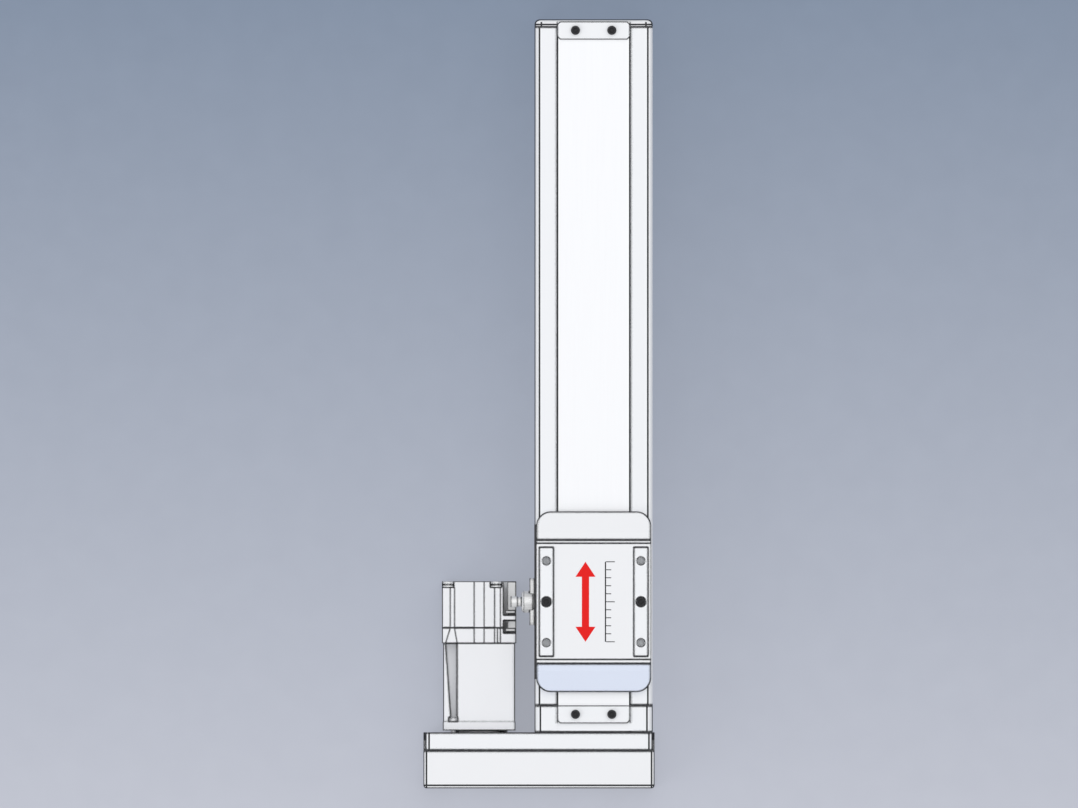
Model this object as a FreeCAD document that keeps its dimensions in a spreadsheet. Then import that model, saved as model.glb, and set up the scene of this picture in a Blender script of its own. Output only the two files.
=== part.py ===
import FreeCAD, Part
import math
import operator
import os
import Sketcher
from FreeCAD import Placement, Rotation, Vector

# Ball screw linear axis with a folded belt drive.
# X runs across the axis, Y along it away from the belt cover, Z up from the mounting face.
# The origin is the middle of the profile's underside. All sizes are millimetres.

doc = FreeCAD.newDocument("BallScrewAxis")
sheet = doc.addObject("Spreadsheet::Sheet", "Sizes")
nodes = []

OPERATORS = {"+": operator.add, "-": operator.sub, "*": operator.mul, "/": operator.truediv}


class Size:
    """A length that knows both its number and the sheet expression that gives it."""

    def __init__(self, value, text):
        self.value = float(value)
        self.text = text

    def __add__(self, other):
        return join(self, "+", other)

    def __radd__(self, other):
        return join(other, "+", self)

    def __sub__(self, other):
        return join(self, "-", other)

    def __rsub__(self, other):
        return join(other, "-", self)

    def __mul__(self, other):
        return join(self, "*", other)

    def __rmul__(self, other):
        return join(other, "*", self)

    def __truediv__(self, other):
        return join(self, "/", other)

    def __neg__(self):
        return join(0, "-", self)


def as_size(thing):
    """A plain number becomes a Size whose expression is that number."""
    return thing if isinstance(thing, Size) else Size(thing, f"({float(thing)!r})")


def join(left, sign, right):
    """Join two lengths by an arithmetic sign, in their numbers and in their expressions."""
    a, b = as_size(left), as_size(right)
    return Size(OPERATORS[sign](a.value, b.value), f"({a.text} {sign} {b.text})")


def size(name, value, meaning):
    """Write one driving size into the sheet and return it."""
    size.row += 1
    sheet.set(f"A{size.row}", meaning)
    sheet.set(f"B{size.row}", str(value))
    sheet.setAlias(f"B{size.row}", name)
    return Size(value, f"Sizes.{name}")


size.row = 0

# Axis as a whole
stroke = size("stroke", 250, "travel of the slider")
axis_width = size("axis_width", 65, "width of the profile")
axis_height = size("axis_height", 53, "height of the profile with its covers")
home_room = size("home_room", 7.3, "profile end to slider at home")
far_room = size("far_room", 16.7, "slider at full travel to profile end")
slider_length = size("slider_length", 99.4, "slider with both end caps")
slider_in = size("slider_in", 0.85, "side of the slider inside the profile's side")
screw_height = size("screw_height", 22, "screw axis above the mounting face")
fit = size("fit", 0.05, "clearance of a screw, tongue or shaft in its seat")
gap = size("gap", 0.3, "clearance between pieces that move past each other")
over = size("over", 1, "how far a cutting tool runs past a surface")
end_room = size("end_room", 1, "room past the end of a screw or shaft")

# Base profile
floor_thick = size("floor_thick", 7, "floor of the base profile")
wall_thick = size("wall_thick", 10.5, "side wall of the base profile")
rail_roof = size("rail_roof", 5, "height of the base profile's wall over the rail insert")
slot_low = size("slot_low", 11.5, "underside of the lower sensor slot")
slot_high = size("slot_high", 21.5, "underside of the upper sensor slot")
slot_wide = size("slot_wide", 3.2, "width of a sensor slot")
slot_deep = size("slot_deep", 4, "depth of a sensor slot")
tongue_in = size("tongue_in", 3.5, "middle of a side cover's tongue from the profile's side")
tongue_wide = size("tongue_wide", 2, "width of the tongue's groove")
tongue_deep = size("tongue_deep", 3, "depth of the tongue's groove")
base_bolt_in = size("base_bolt_in", 7.5, "mounting thread from the profile's side")
base_bolt_outer = size("base_bolt_outer", 150, "outer mounting thread from the middle")
base_bolt_inner = size("base_bolt_inner", 50, "inner mounting thread from the middle")
base_bolt_deep = size("base_bolt_deep", 10, "depth of a mounting thread")
thread_five = size("thread_five", 2.1, "core radius of an M5 thread")

# Rails
rail_height = size("rail_height", 14, "height of a rail insert")
rail_set = size("rail_set", 4, "depth of the rail's pocket in the wall")
rail_proud = size("rail_proud", 0.6, "how far the rail stands out of the wall")
track_radius = size("track_radius", 1.6, "radius of a ball track")
track_apart = size("track_apart", 7, "distance between the two tracks of one rail")

# Side covers and band
cover_wall = size("cover_wall", 2.5, "side wall of a side cover")
cover_top = size("cover_top", 3, "top flange of a side cover")
cover_foot = size("cover_foot", 6.5, "width of a side cover's foot")
cover_edge = size("cover_edge", 2.7, "rounding of the top outer edge")
cover_land = size("cover_land", 12.4, "width of a side cover beside the band's recess")
band_ledge = size("band_ledge", 3.1, "ledge that carries the band's edge")
band_thick = size("band_thick", 0.3, "thickness of the cover band")
band_side = size("band_side", 0.2, "side clearance of the band in its recess")
recess_deep = size("recess_deep", 0.5, "depth of the band's recess")
magnet_wide = size("magnet_wide", 2, "width of a magnet strip")
magnet_deep = size("magnet_deep", 1.2, "thickness of a magnet strip")

# Ends of the profile
near_block = size("near_block", 14.8, "length of the near bearing block")
near_edge = size("near_edge", 3.2, "rounding of the near block's top edges")
far_cover = size("far_cover", 3.9, "thickness of the far end cover")
far_side = size("far_side", 3.75, "rounding of the far end cover's side edges")
far_edge = size("far_edge", 2.8, "rounding of the far end cover's outer face")
far_head = size("far_head", 3, "radius of a far cover screw's head")
far_sunk = size("far_sunk", 0.5, "top of a far cover screw's head under the cover's face")
far_block = size("far_block", 14, "length of the far support block")
far_block_side = size("far_block_side", 0.7, "clearance beside the far support block")
clamp_near = size("clamp_near", 9.9, "length of the near band clamp")
clamp_far = size("clamp_far", 10, "length of the far band clamp")
clamp_over = size("clamp_over", 2.8, "reach of the far clamp over the end cover")
clamp_thick = size("clamp_thick", 1.8, "thickness of a band clamp")
clamp_corner = size("clamp_corner", 1.5, "chamfer of a band clamp's corners")
clamp_bolt_side = size("clamp_bolt_side", 10, "clamp screw from the centre line")
clamp_bolt_near = size("clamp_bolt_near", 4.9, "near clamp screw from the profile's end")
clamp_bolt_far = size("clamp_bolt_far", 2.1, "far clamp screw from the profile's end")
small_shank = size("small_shank", 1.5, "radius of a small screw")
small_head = size("small_head", 2.5, "radius of a small screw's head")
small_head_thick = size("small_head_thick", 1.8, "height of a small screw's head")
small_reach = size("small_reach", 7, "thread length of a small screw")
tie_shank = size("tie_shank", 2, "radius of a tie screw")
tie_head = size("tie_head", 3.5, "radius of a tie screw's head")
tie_head_thick = size("tie_head_thick", 4, "height of a tie screw's head")
flat_head_thick = size("flat_head_thick", 2.2, "height of a far cover screw's head")
tie_reach = size("tie_reach", 10, "thread length in the profile")
tap_spare = size("tap_spare", 2, "how much deeper a tapped hole is than its screw")
tie_low_in = size("tie_low_in", 5.5, "lower tie screw from the profile's side")
tie_low = size("tie_low", 6.5, "lower tie screw above the mounting face")
tie_high_in = size("tie_high_in", 4.2, "upper tie screw from the profile's side")
tie_high = size("tie_high", 28, "upper tie screw above the mounting face")
block_bolt_in = size("block_bolt_in", 7, "support block screw from the channel's side")
block_bolt_high = size("block_bolt_high", 12, "support block screw above the mounting face")
bumper_radius = size("bumper_radius", 4, "radius of a rubber bumper")
bumper_long = size("bumper_long", 4, "length of a rubber bumper")
bumper_in = size("bumper_in", 7, "bumper from the carriage block's side")
bumper_high = size("bumper_high", 30, "bumper above the mounting face")
band_end_in = size("band_end_in", 1, "end of the band from its clamp's outer edge")

# Screw and bearings
screw_radius = size("screw_radius", 6, "outer radius of the ball screw")
seat_radius = size("seat_radius", 4, "radius of the near bearing seat")
near_ring = size("near_ring", 11, "outer radius of a near bearing")
near_wide = size("near_wide", 7, "width of a near bearing")
tail_radius = size("tail_radius", 3, "radius of the far journal and the pulley seat")
far_ring = size("far_ring", 9.5, "outer radius of the far bearing")
far_wide = size("far_wide", 6, "width of the far bearing")
far_bearing_in = size("far_bearing_in", 10.7, "far bearing from the profile's end")
ring_inner = size("ring_inner", 1.9, "wall of an inner ring")
ring_gap = size("ring_gap", 0.15, "gap between a bearing's shields and its inner ring")
shoulder_wall = size("shoulder_wall", 1.5, "how far a shoulder covers an outer ring")
lock_radius = size("lock_radius", 8.5, "radius of the lock nut")
lock_long = size("lock_long", 7, "length of the lock nut")
lock_neck = size("lock_neck", 0.5, "neck of the lock nut against the inner ring")
clip_wide = size("clip_wide", 1, "width of the retaining ring")
tail_end = size("tail_end", 2.7, "far end of the screw from the profile's end")

# Belt drive
plate_thick = size("plate_thick", 10, "thickness of the adapter plate")
plate_in = size("plate_in", 0.2, "right end of the adapter plate from the profile's side")
plate_left = size("plate_left", 29.4, "left end of the adapter plate from the motor axis")
plate_low = size("plate_low", 2, "underside of the adapter plate")
plate_drop = size("plate_drop", 2, "top of the adapter plate under the profile's top")
plate_corner = size("plate_corner", 1.9, "rounding of the adapter plate's corners")
centre_distance = size("centre_distance", 63, "screw axis to motor axis")
cover_depth = size("cover_depth", 20.8, "depth of the belt cover")
shell_wall = size("shell_wall", 1.5, "wall of the belt cover")
shell_over = size("shell_over", 1.2, "wrap of the belt cover over the plate")
shell_edge = size("shell_edge", 1.65, "rounding of the belt cover's outer edges")
ear_corner = size("ear_corner", 4, "rounding of a belt cover ear")
boss_radius = size("boss_radius", 3.2, "radius of a belt cover boss")
shell_bolt_side = size("shell_bolt_side", 6, "belt cover screw from the plate's ends")
shell_bolt_right = size("shell_bolt_right", 16.3, "right belt cover screw from the plate's right end")
shell_bolt_edge = size("shell_bolt_edge", 5, "belt cover screw from the plate's edge")
pitch = size("pitch", 3, "belt pitch")
pulley_teeth = size("pulley_teeth", 24, "teeth of each pulley")
pitch_line = size("pitch_line", 0.381, "belt pitch line above the pulley's crown")
belt_wide = size("belt_wide", 10, "width of the belt")
belt_side = size("belt_side", 0.5, "side clearance of the belt between the flanges")
belt_back = size("belt_back", 1.2, "thickness of the belt over its teeth")
belt_tooth = size("belt_tooth", 1.15, "height of a belt tooth")
belt_lift = size("belt_lift", 0.08, "clearance between belt and pulley")
flange_thick = size("flange_thick", 1, "thickness of a pulley flange")
flange_radius = size("flange_radius", 13, "radius of a pulley flange")
pulley_out = size("pulley_out", 2.5, "pulley from the adapter plate")
groove_deep = size("groove_deep", 1.3, "depth of a pulley tooth space")
groove_mouth = size("groove_mouth", 1.9, "width of a tooth space at the crown")
groove_root = size("groove_root", 1.3, "width of a tooth space at its root")
tooth_slack = size("tooth_slack", 0.4, "side clearance of a belt tooth in its space")
tooth_seat = size("tooth_seat", 0.2, "how far a belt tooth is rooted in the belt")
shaft_way = size("shaft_way", 11, "radius of the plate's opening round the motor's shaft")

# Motor
motor_width = size("motor_width", 40, "side of the motor's square flange")
body_width = size("body_width", 39.6, "side of the motor's body")
cap_width = size("cap_width", 40.9, "side of the motor's encoder cover")
motor_corner = size("motor_corner", 2, "rounding of the motor's corners")
pilot_radius = size("pilot_radius", 15, "radius of the motor's pilot")
pilot_long = size("pilot_long", 2.5, "length of the motor's pilot")
motor_stand = size("motor_stand", 1.05, "gap between the adapter plate and the flange")
flange_long = size("flange_long", 4.9, "thickness of the motor's flange")
body_long = size("body_long", 43.1, "length of the motor's body behind its flange")
cap_long = size("cap_long", 34, "length of the encoder cover")
cap_seam = size("cap_seam", 8.2, "seam of the encoder cover from its front")
seam_wide = size("seam_wide", 0.5, "width and depth of a seam or fine groove")
shaft_radius = size("shaft_radius", 4, "radius of the motor's shaft")
shaft_out = size("shaft_out", 25, "shaft length in front of the flange")
shaft_in = size("shaft_in", 22, "shaft length inside the motor")
motor_bolt = size("motor_bolt", 14.25, "motor screw from the motor axis, both ways")
head_recess = size("head_recess", 2.6, "half width of the recess round a motor screw's head")
head_recess_long = size("head_recess_long", 2.3, "length of the recess round a motor screw's head")
channel_inner = size("channel_inner", 2.15, "inner edge of a screw channel from the screw")
channel_near = size("channel_near", 1.4, "outer edge of a screw channel from the screw, by the flange")
channel_far = size("channel_far", 4.2, "outer edge of a screw channel from the screw, at its far end")
channel_high = size("channel_high", 3, "height of a screw channel round the screw")
groove_half = size("groove_half", 2.75, "half width of the encoder cover's middle groove")
groove_low = size("groove_low", 0.6, "depth of the encoder cover's grooves")
left_groove_out = size("left_groove_out", 1.65, "outer edge of the left groove from the motor screw")
left_groove_in = size("left_groove_in", 0.75, "inner edge of the left groove from the motor screw")
right_groove_near = size("right_groove_near", 8.5, "right groove from the motor axis")
right_groove_wide = size("right_groove_wide", 3.2, "width of the right groove")
socket_wide = size("socket_wide", 7.2, "width of a connector recess")
socket_floor = size("socket_floor", 24, "floor of a connector recess")
power_front = size("power_front", 15.3, "power connector from the cover's front")
power_long = size("power_long", 18.7, "length of the power connector's recess")
signal_front = size("signal_front", 5.4, "encoder connector from the cover's front")
signal_long = size("signal_long", 7.2, "length of the encoder connector's recess")
plug_high = size("plug_high", 37.3, "top of both connectors")
plug_slot = size("plug_slot", 2.4, "gap beside a connector on the motor's side")
latch_in = size("latch_in", 1, "latch from its connector's front")
latch_thick = size("latch_thick", 1, "height of a latch over its connector")
latch_wide = size("latch_wide", 5.4, "width of a connector latch")
latch_long = size("latch_long", 1.7, "length of a connector latch")
rear_head = size("rear_head", 3, "radius of a motor cover screw's head")
rear_head_long = size("rear_head_long", 3.35, "depth of a motor cover screw's seat")
washer_long = size("washer_long", 1.3, "thickness of a motor cover screw's washer")
washer_gap = size("washer_gap", 0.5, "neck between the screw's head and its washer")
rear_inner = size("rear_inner", 9.3, "right rear screw from the motor axis")
rear_outer = size("rear_outer", 17.1, "left rear screw from the motor axis")
rear_high = size("rear_high", 16.8, "rear screws above and below the motor axis")

# Slider
cap_length = size("cap_length", 15.85, "length of a slider end cap")
seal_near = size("seal_near", 2.2, "thickness of the near seal plate")
seal_far = size("seal_far", 1.7, "thickness of the far seal plate")
slider_rise = size("slider_rise", 7, "top of the slider's cover over the profile's top")
cap_fall = size("cap_fall", 2.5, "fall of an end cap's top to its outer edge")
cap_wall = size("cap_wall", 2, "wall of an end cap over the band")
cap_flat = size("cap_flat", 4, "flat stretch of an end cap beside its seal plate")
cap_corner = size("cap_corner", 8, "rounding of an end cap's corners")
skirt_wall = size("skirt_wall", 1.45, "wall of the slider cover's skirts")
tray_thick = size("tray_thick", 1.5, "top wall of the slider's cover")
rib_wide = size("rib_wide", 1.1, "width of a rib under the slider's cover")
slot_roof = size("slot_roof", 1, "wall of a seal plate over the band")
saddle_side = size("saddle_side", 0.2, "clearance of the saddle inside the skirts")
saddle_in = size("saddle_in", 1.65, "ends of the saddle and the pads from the near seal plate")
saddle_lift = size("saddle_lift", 0.6, "underside of the saddle's flange over the profile's top")
saddle_thick = size("saddle_thick", 2.4, "thickness of the saddle's flange")
neck_side = size("neck_side", 4, "clearance of the saddle's neck in the slot under the band")
pad_over = size("pad_over", 1, "load face of the pads over the slider's cover")
pad_out = size("pad_out", 1.75, "outer edge of a pad from the slider's side")
pad_in = size("pad_in", 0.6, "inner edge of a pad from the rib beside it")
table_bolt_long = size("table_bolt_long", 45, "table threads along the axis")
pad_head_thick = size("pad_head_thick", 2.8, "height of a pad screw's head")
carriage_side = size("carriage_side", 1, "clearance of the carriage block in the channel")
carriage_low = size("carriage_low", 7.6, "underside of the carriage block")
carriage_high = size("carriage_high", 36, "top of the carriage block")
carriage_long = size("carriage_long", 72, "length of the carriage block")
carriage_edge = size("carriage_edge", 1, "chamfer of the carriage block's edges")
return_long = size("return_long", 6, "length of a ball return cap")
nut_radius = size("nut_radius", 11, "radius of the ball nut")
nut_flange = size("nut_flange", 13, "radius of the ball nut's flange")
nut_flange_long = size("nut_flange_long", 5, "thickness of the ball nut's flange")
saddle_bolt_in = size("saddle_bolt_in", 3.5, "saddle screw from the side of the saddle's neck")
saddle_sunk = size("saddle_sunk", 1, "top of a saddle screw's head under the flange's top")
return_way = size("return_way", 1, "how much wider than the nut a return cap's hole is")
saddle_bolt_along = size("saddle_bolt_along", 24, "saddle screw from the slider's middle")
saddle_bolt_end = size("saddle_bolt_end", 31.8, "lower end of a saddle screw")
ramp_start = size("ramp_start", 4, "start of the band's rise from the slider's end")
ramp_run = size("ramp_run", 14.7, "length of the band's rise")
guide_short = size("guide_short", 4.9, "band guide's tip from the start of the rise")
wiper_long = size("wiper_long", 2.5, "length of a band wiper")
wiper_in = size("wiper_in", 0.5, "band wiper from the slider's end")
guide_side = size("guide_side", 1, "side of a band guide from the band's edge")
flag_long = size("flag_long", 85, "length of the side strip")
flag_thick = size("flag_thick", 1, "thickness of the side strip")
flag_lift = size("flag_lift", 1.2, "underside of the side strip over the profile's top")
flag_tall = size("flag_tall", 5.2, "height of the side strip")

# Air port
port_drop = size("port_drop", 6.8, "air port under the profile's top")
port_long = size("port_long", 26, "length of the port's flange")
port_thick = size("port_thick", 2.8, "thickness of the port's flange")
port_tall = size("port_tall", 8, "height of the port's flange")
port_corner = size("port_corner", 2, "rounding of the port's flange")
collar_radius = size("collar_radius", 6, "radius of the port's collar")
collar_out = size("collar_out", 7.1, "collar's reach from the side cover")
collar_chamfer = size("collar_chamfer", 1.2, "chamfer of the collar's ends")
barb_radius = size("barb_radius", 3.05, "radius of the hose barb")
barb_out = size("barb_out", 13.2, "barb's reach from the side cover")
barb_long = size("barb_long", 3.8, "length of the hose barb")
barb_neck = size("barb_neck", 2.6, "radius of the barb's neck")
port_bore = size("port_bore", 1.5, "radius of the port's air way")
port_spigot = size("port_spigot", 3.4, "radius of the port's spigot in the side cover")
port_bolt = size("port_bolt", 9.6, "port screw from the port's middle")

# Places worked out from the driving sizes
half = axis_width / 2
cavity_half = half - wall_thick
tongue_middle = half - tongue_in
recess_half = half - cover_land
band_half = recess_half - band_side
mouth_half = recess_half - band_ledge
tie_spots = ((half - tie_low_in, tie_low), (half - tie_high_in, tie_high))
profile_length = home_room + slider_length + stroke + far_room
near_face = -(profile_length / 2)
far_face = profile_length / 2
slider_near = near_face + home_room
slider_far = slider_near + slider_length
slider_middle = slider_near + slider_length / 2
block_face = near_face - near_block
plate_face = block_face - plate_thick
shell_face = plate_face - cover_depth
recess_floor = axis_height - recess_deep
band_top = recess_floor + band_thick
rail_inner = cavity_half - rail_proud
rail_low = screw_height - rail_height / 2
rail_high = screw_height + rail_height / 2
wall_top = rail_high + rail_roof
motor_x = -centre_distance
motor_face = block_face + motor_stand
motor_flange_back = motor_face + flange_long
motor_cap_face = motor_flange_back + body_long
motor_rear = motor_cap_face + cap_long
pulley_near = plate_face - pulley_out
pulley_wide = belt_wide + belt_side * 2 + flange_thick * 2
pulley_far = pulley_near - pulley_wide
plate_right = half - plate_in
plate_high = axis_height - plate_drop
crown_radius = pitch * pulley_teeth / (2 * math.pi) - pitch_line
far_bearing = far_face - far_bearing_in
saddle_long = slider_length - (cap_length + seal_near + saddle_in) * 2
saddle_low = axis_height + saddle_lift
saddle_high = saddle_low + saddle_thick
slider_top = axis_height + slider_rise
cap_low = slider_top - cap_fall
pad_top = slider_top + pad_over
arch_low = saddle_high + gap
skirt_half = half - slider_in
saddle_half = skirt_half - skirt_wall - saddle_side
rib_inner = recess_half + gap
rib_outer = rib_inner + rib_wide
pad_wide = skirt_half - pad_out - (rib_outer + pad_in)
pad_side = skirt_half - pad_out - pad_wide / 2
pad_head = pad_wide / 3
neck_half = mouth_half - neck_side
carriage_half = cavity_half - carriage_side
saddle_bolt_side = neck_half - saddle_bolt_in
port_high = axis_height - port_drop
table_near = slider_near + cap_length + seal_near
table_far = slider_far - cap_length - seal_far
slider_low = axis_height + gap

SIDES = (("left", -1), ("right", 1))
TURNS = {
    "X": Rotation(Vector(0, 1, 0), 90),
    "Y": Rotation(Vector(1, 0, 0), -90),
    "Z": Rotation(),
}
PLANES = {"X": "YZ_Plane", "Y": "XZ_Plane", "Z": "XY_Plane"}


def bind(thing, prop, length):
    """Tie one property to the expression of a length."""
    thing.setExpression(prop, as_size(length).text)


def place(thing, x, y, z):
    """Tie an object's place to three lengths."""
    for letter, length in (("x", x), ("y", y), ("z", z)):
        bind(thing, f"Placement.Base.{letter}", length)


def block(name, x, y, z):
    """A box between two places along each axis."""
    thing = doc.addObject("Part::Box", name)
    for prop, span in (("Length", x), ("Width", y), ("Height", z)):
        bind(thing, prop, span[1] - span[0])
    place(thing, x[0], y[0], z[0])
    return thing


def rod(name, axis, centre, radius, start, end):
    """A cylinder along an axis, from start to end; centre holds its two other coordinates."""
    thing = doc.addObject("Part::Cylinder", name)
    bind(thing, "Radius", radius)
    bind(thing, "Height", end - start)
    thing.Placement = Placement(Vector(), TURNS[axis])
    spot = list(centre)
    spot.insert("XYZ".index(axis), start)
    place(thing, *spot)
    return thing


def fuse(name, *things):
    """Join solids into one."""
    thing = doc.addObject("Part::MultiFuse", name)
    thing.Shapes = list(things)
    thing.Refine = True
    return thing


def cut(name, base, *tools):
    """Take the tools away from the base."""
    thing = doc.addObject("Part::Cut", name)
    thing.Base = base
    thing.Tool = tools[0] if len(tools) == 1 else fuse(name + "_tools", *tools)
    return thing


def group(name, things):
    """Keep several separate solids in one object."""
    thing = doc.addObject("Part::Compound", name)
    thing.Links = list(things)
    return thing


def node(thing):
    """Note an object as a sub-part that gets a file of its own."""
    nodes.append(thing)
    return thing


def new_sketch(body, name, plane, offset=0):
    """A sketch on one of the body's own planes, moved along that plane's normal."""
    sketch = body.newObject("Sketcher::SketchObject", name)
    support = [item for item in body.Origin.OriginFeatures if item.Role == plane][0]
    sketch.AttachmentSupport = [(support, "")]
    sketch.MapMode = "FlatFace"
    bind(sketch, "AttachmentOffset.Base.z", offset)
    return sketch


def draw(sketch, outline):
    """Draw a closed outline of straight lines with each corner tied to the sheet."""
    corners = [(as_size(u), as_size(v)) for u, v in outline]
    count = len(corners)
    first = sketch.GeometryCount
    lines = []
    for number, (u, v) in enumerate(corners):
        next_u, next_v = corners[(number + 1) % count]
        lines.append(Part.LineSegment(Vector(u.value, v.value, 0), Vector(next_u.value, next_v.value, 0)))
    sketch.addGeometry(lines, False)
    rules = []
    for number in range(count):
        rules.append(Sketcher.Constraint("Coincident", first + number, 2, first + (number + 1) % count, 1))
    for number, (u, v) in enumerate(corners):
        rules.append(Sketcher.Constraint("DistanceX", -1, 1, first + number, 1, u.value))
        rules.append(Sketcher.Constraint("DistanceY", -1, 1, first + number, 1, v.value))
    start = sketch.ConstraintCount
    sketch.addConstraint(rules)
    for number, corner in enumerate(corners):
        for step, length in enumerate(corner):
            bind(sketch, f"Constraints[{start + count + number * 2 + step}]", length)


def circle(sketch, radius):
    """Draw a circle about the sketch's origin."""
    radius = as_size(radius)
    number = sketch.addGeometry(Part.Circle(Vector(), Vector(0, 0, 1), radius.value), False)
    sketch.addConstraint(Sketcher.Constraint("Coincident", number, 3, -1, 1))
    sketch.addConstraint(Sketcher.Constraint("Radius", number, radius.value))
    bind(sketch, f"Constraints[{sketch.ConstraintCount - 1}]", radius)


def prism(name, axis, outline, start, end):
    """A padded sketch: the outline lies across the axis and runs from start to end along it."""
    body = doc.addObject("PartDesign::Body", name)
    sketch = new_sketch(body, name + "_outline", PLANES[axis])
    draw(sketch, outline)
    pad = body.newObject("PartDesign::Pad", name + "_pad")
    pad.Profile = sketch
    pad.Reversed = axis == "Y"
    bind(pad, "Length", end - start)
    bind(body, f"Placement.Base.{axis.lower()}", start)
    return body


def lathe(name, axis, centre, outline):
    """A turned piece: the outline holds pairs of radius and place along the axis."""
    body = doc.addObject("PartDesign::Body", name)
    sketch = new_sketch(body, name + "_outline", "XZ_Plane" if axis == "Z" else "XY_Plane")
    draw(sketch, [(along, radius) for radius, along in outline] if axis == "X" else outline)
    turn = body.newObject("PartDesign::Revolution", name + "_turn")
    turn.Profile = sketch
    turn.ReferenceAxis = (sketch, ["H_Axis" if axis == "X" else "V_Axis"])
    turn.Angle = 360
    spot = list(centre)
    spot.insert("XYZ".index(axis), 0)
    place(body, *spot)
    return body


def dress(body, kind, amount, wanted):
    """Fillet or chamfer those edges of the body that the test wants."""
    doc.recompute()
    tip = body.Tip
    names = [f"Edge{number}" for number, edge in enumerate(tip.Shape.Edges, 1) if wanted(edge)]
    feature = body.newObject("PartDesign::" + kind, f"{body.Name}_{kind.lower()}")
    feature.Base = (tip, names)
    bind(feature, "Radius" if kind == "Fillet" else "Size", amount)
    return body


def edges_at(axis, *places):
    """A test for edges that run along the axis through one of the given places."""
    letters = [letter for letter in "xyz" if letter != axis.lower()]
    wanted = [tuple(as_size(value).value for value in spot) for spot in places]

    def test(edge):
        spots = [tuple(getattr(vertex.Point, letter) for letter in letters) for vertex in edge.Vertexes]
        return len(spots) == 2 and all(
            any(math.dist(spot, corner) < 0.01 for corner in wanted) for spot in spots
        ) and math.dist(*spots) < 0.01

    return test


def mirrored(points, side):
    """The outline as it is on the right, or turned over to the left."""
    return [(u * side, v) for u, v in points]


def both_sides(points):
    """A closed outline from its right half, given from the bottom to the top."""
    return points + [(-u, v) for u, v in reversed(points)]


def screw_solid(name, axis, centre, face, shank, head, head_long, reach, way):
    """A cap screw: its head stands on the face and its shank goes the other way."""
    if way > 0:
        shank_rod = rod(name + "_shank", axis, centre, shank - fit, face - reach, face)
        head_rod = rod(name + "_head", axis, centre, head, face, face + head_long)
    else:
        shank_rod = rod(name + "_shank", axis, centre, shank - fit, face, face + reach)
        head_rod = rod(name + "_head", axis, centre, head, face - head_long, face)
    return fuse(name, shank_rod, head_rod)


# Base profile with its rails
def make_base():
    side_slots = []
    for low in (slot_low, slot_high):
        side_slots += [
            (half, low),
            (half - slot_deep, low),
            (half - slot_deep, low + slot_wide),
            (half, low + slot_wide),
        ]
    groove_inner = tongue_middle - tongue_wide / 2
    groove_outer = tongue_middle + tongue_wide / 2
    right_half = [
        (half, 0),
        *side_slots,
        (half, wall_top),
        (groove_outer, wall_top),
        (groove_outer, wall_top - tongue_deep),
        (groove_inner, wall_top - tongue_deep),
        (groove_inner, wall_top),
        (cavity_half, wall_top),
        (cavity_half, rail_high),
        (cavity_half + rail_set, rail_high),
        (cavity_half + rail_set, rail_low),
        (cavity_half, rail_low),
        (cavity_half, floor_thick),
    ]
    profile = prism("profile", "Y", both_sides(right_half), near_face, far_face)
    holes = []
    depth = tie_reach + tap_spare
    for side in (-1, 1):
        for along in (base_bolt_outer, base_bolt_inner):
            for way in (-1, 1):
                centre = ((half - base_bolt_in) * side, along * way)
                holes.append(rod("base_thread", "Z", centre, thread_five, 0, base_bolt_deep))
        for across, high in tie_spots:
            centre = (across * side, high)
            holes.append(rod("near_thread", "Y", centre, tie_shank, near_face, near_face + depth))
            holes.append(rod("far_thread", "Y", centre, tie_shank, far_face - depth, far_face))
    node(cut("base_extrusion", profile, *holes))

    for side_name, side in SIDES:
        across = [rail_inner * side, (cavity_half + rail_set) * side]
        across.sort(key=lambda length: length.value)
        bar = block(f"rail_bar_{side_name}", across, (near_face, far_face), (rail_low, rail_high))
        tracks = []
        for way in (-1, 1):
            centre = (rail_inner * side, screw_height + track_apart / 2 * way)
            tracks.append(rod("rail_track", "Y", centre, track_radius, near_face, far_face))
        node(cut(f"rail_insert_{side_name}", bar, *tracks))


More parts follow.
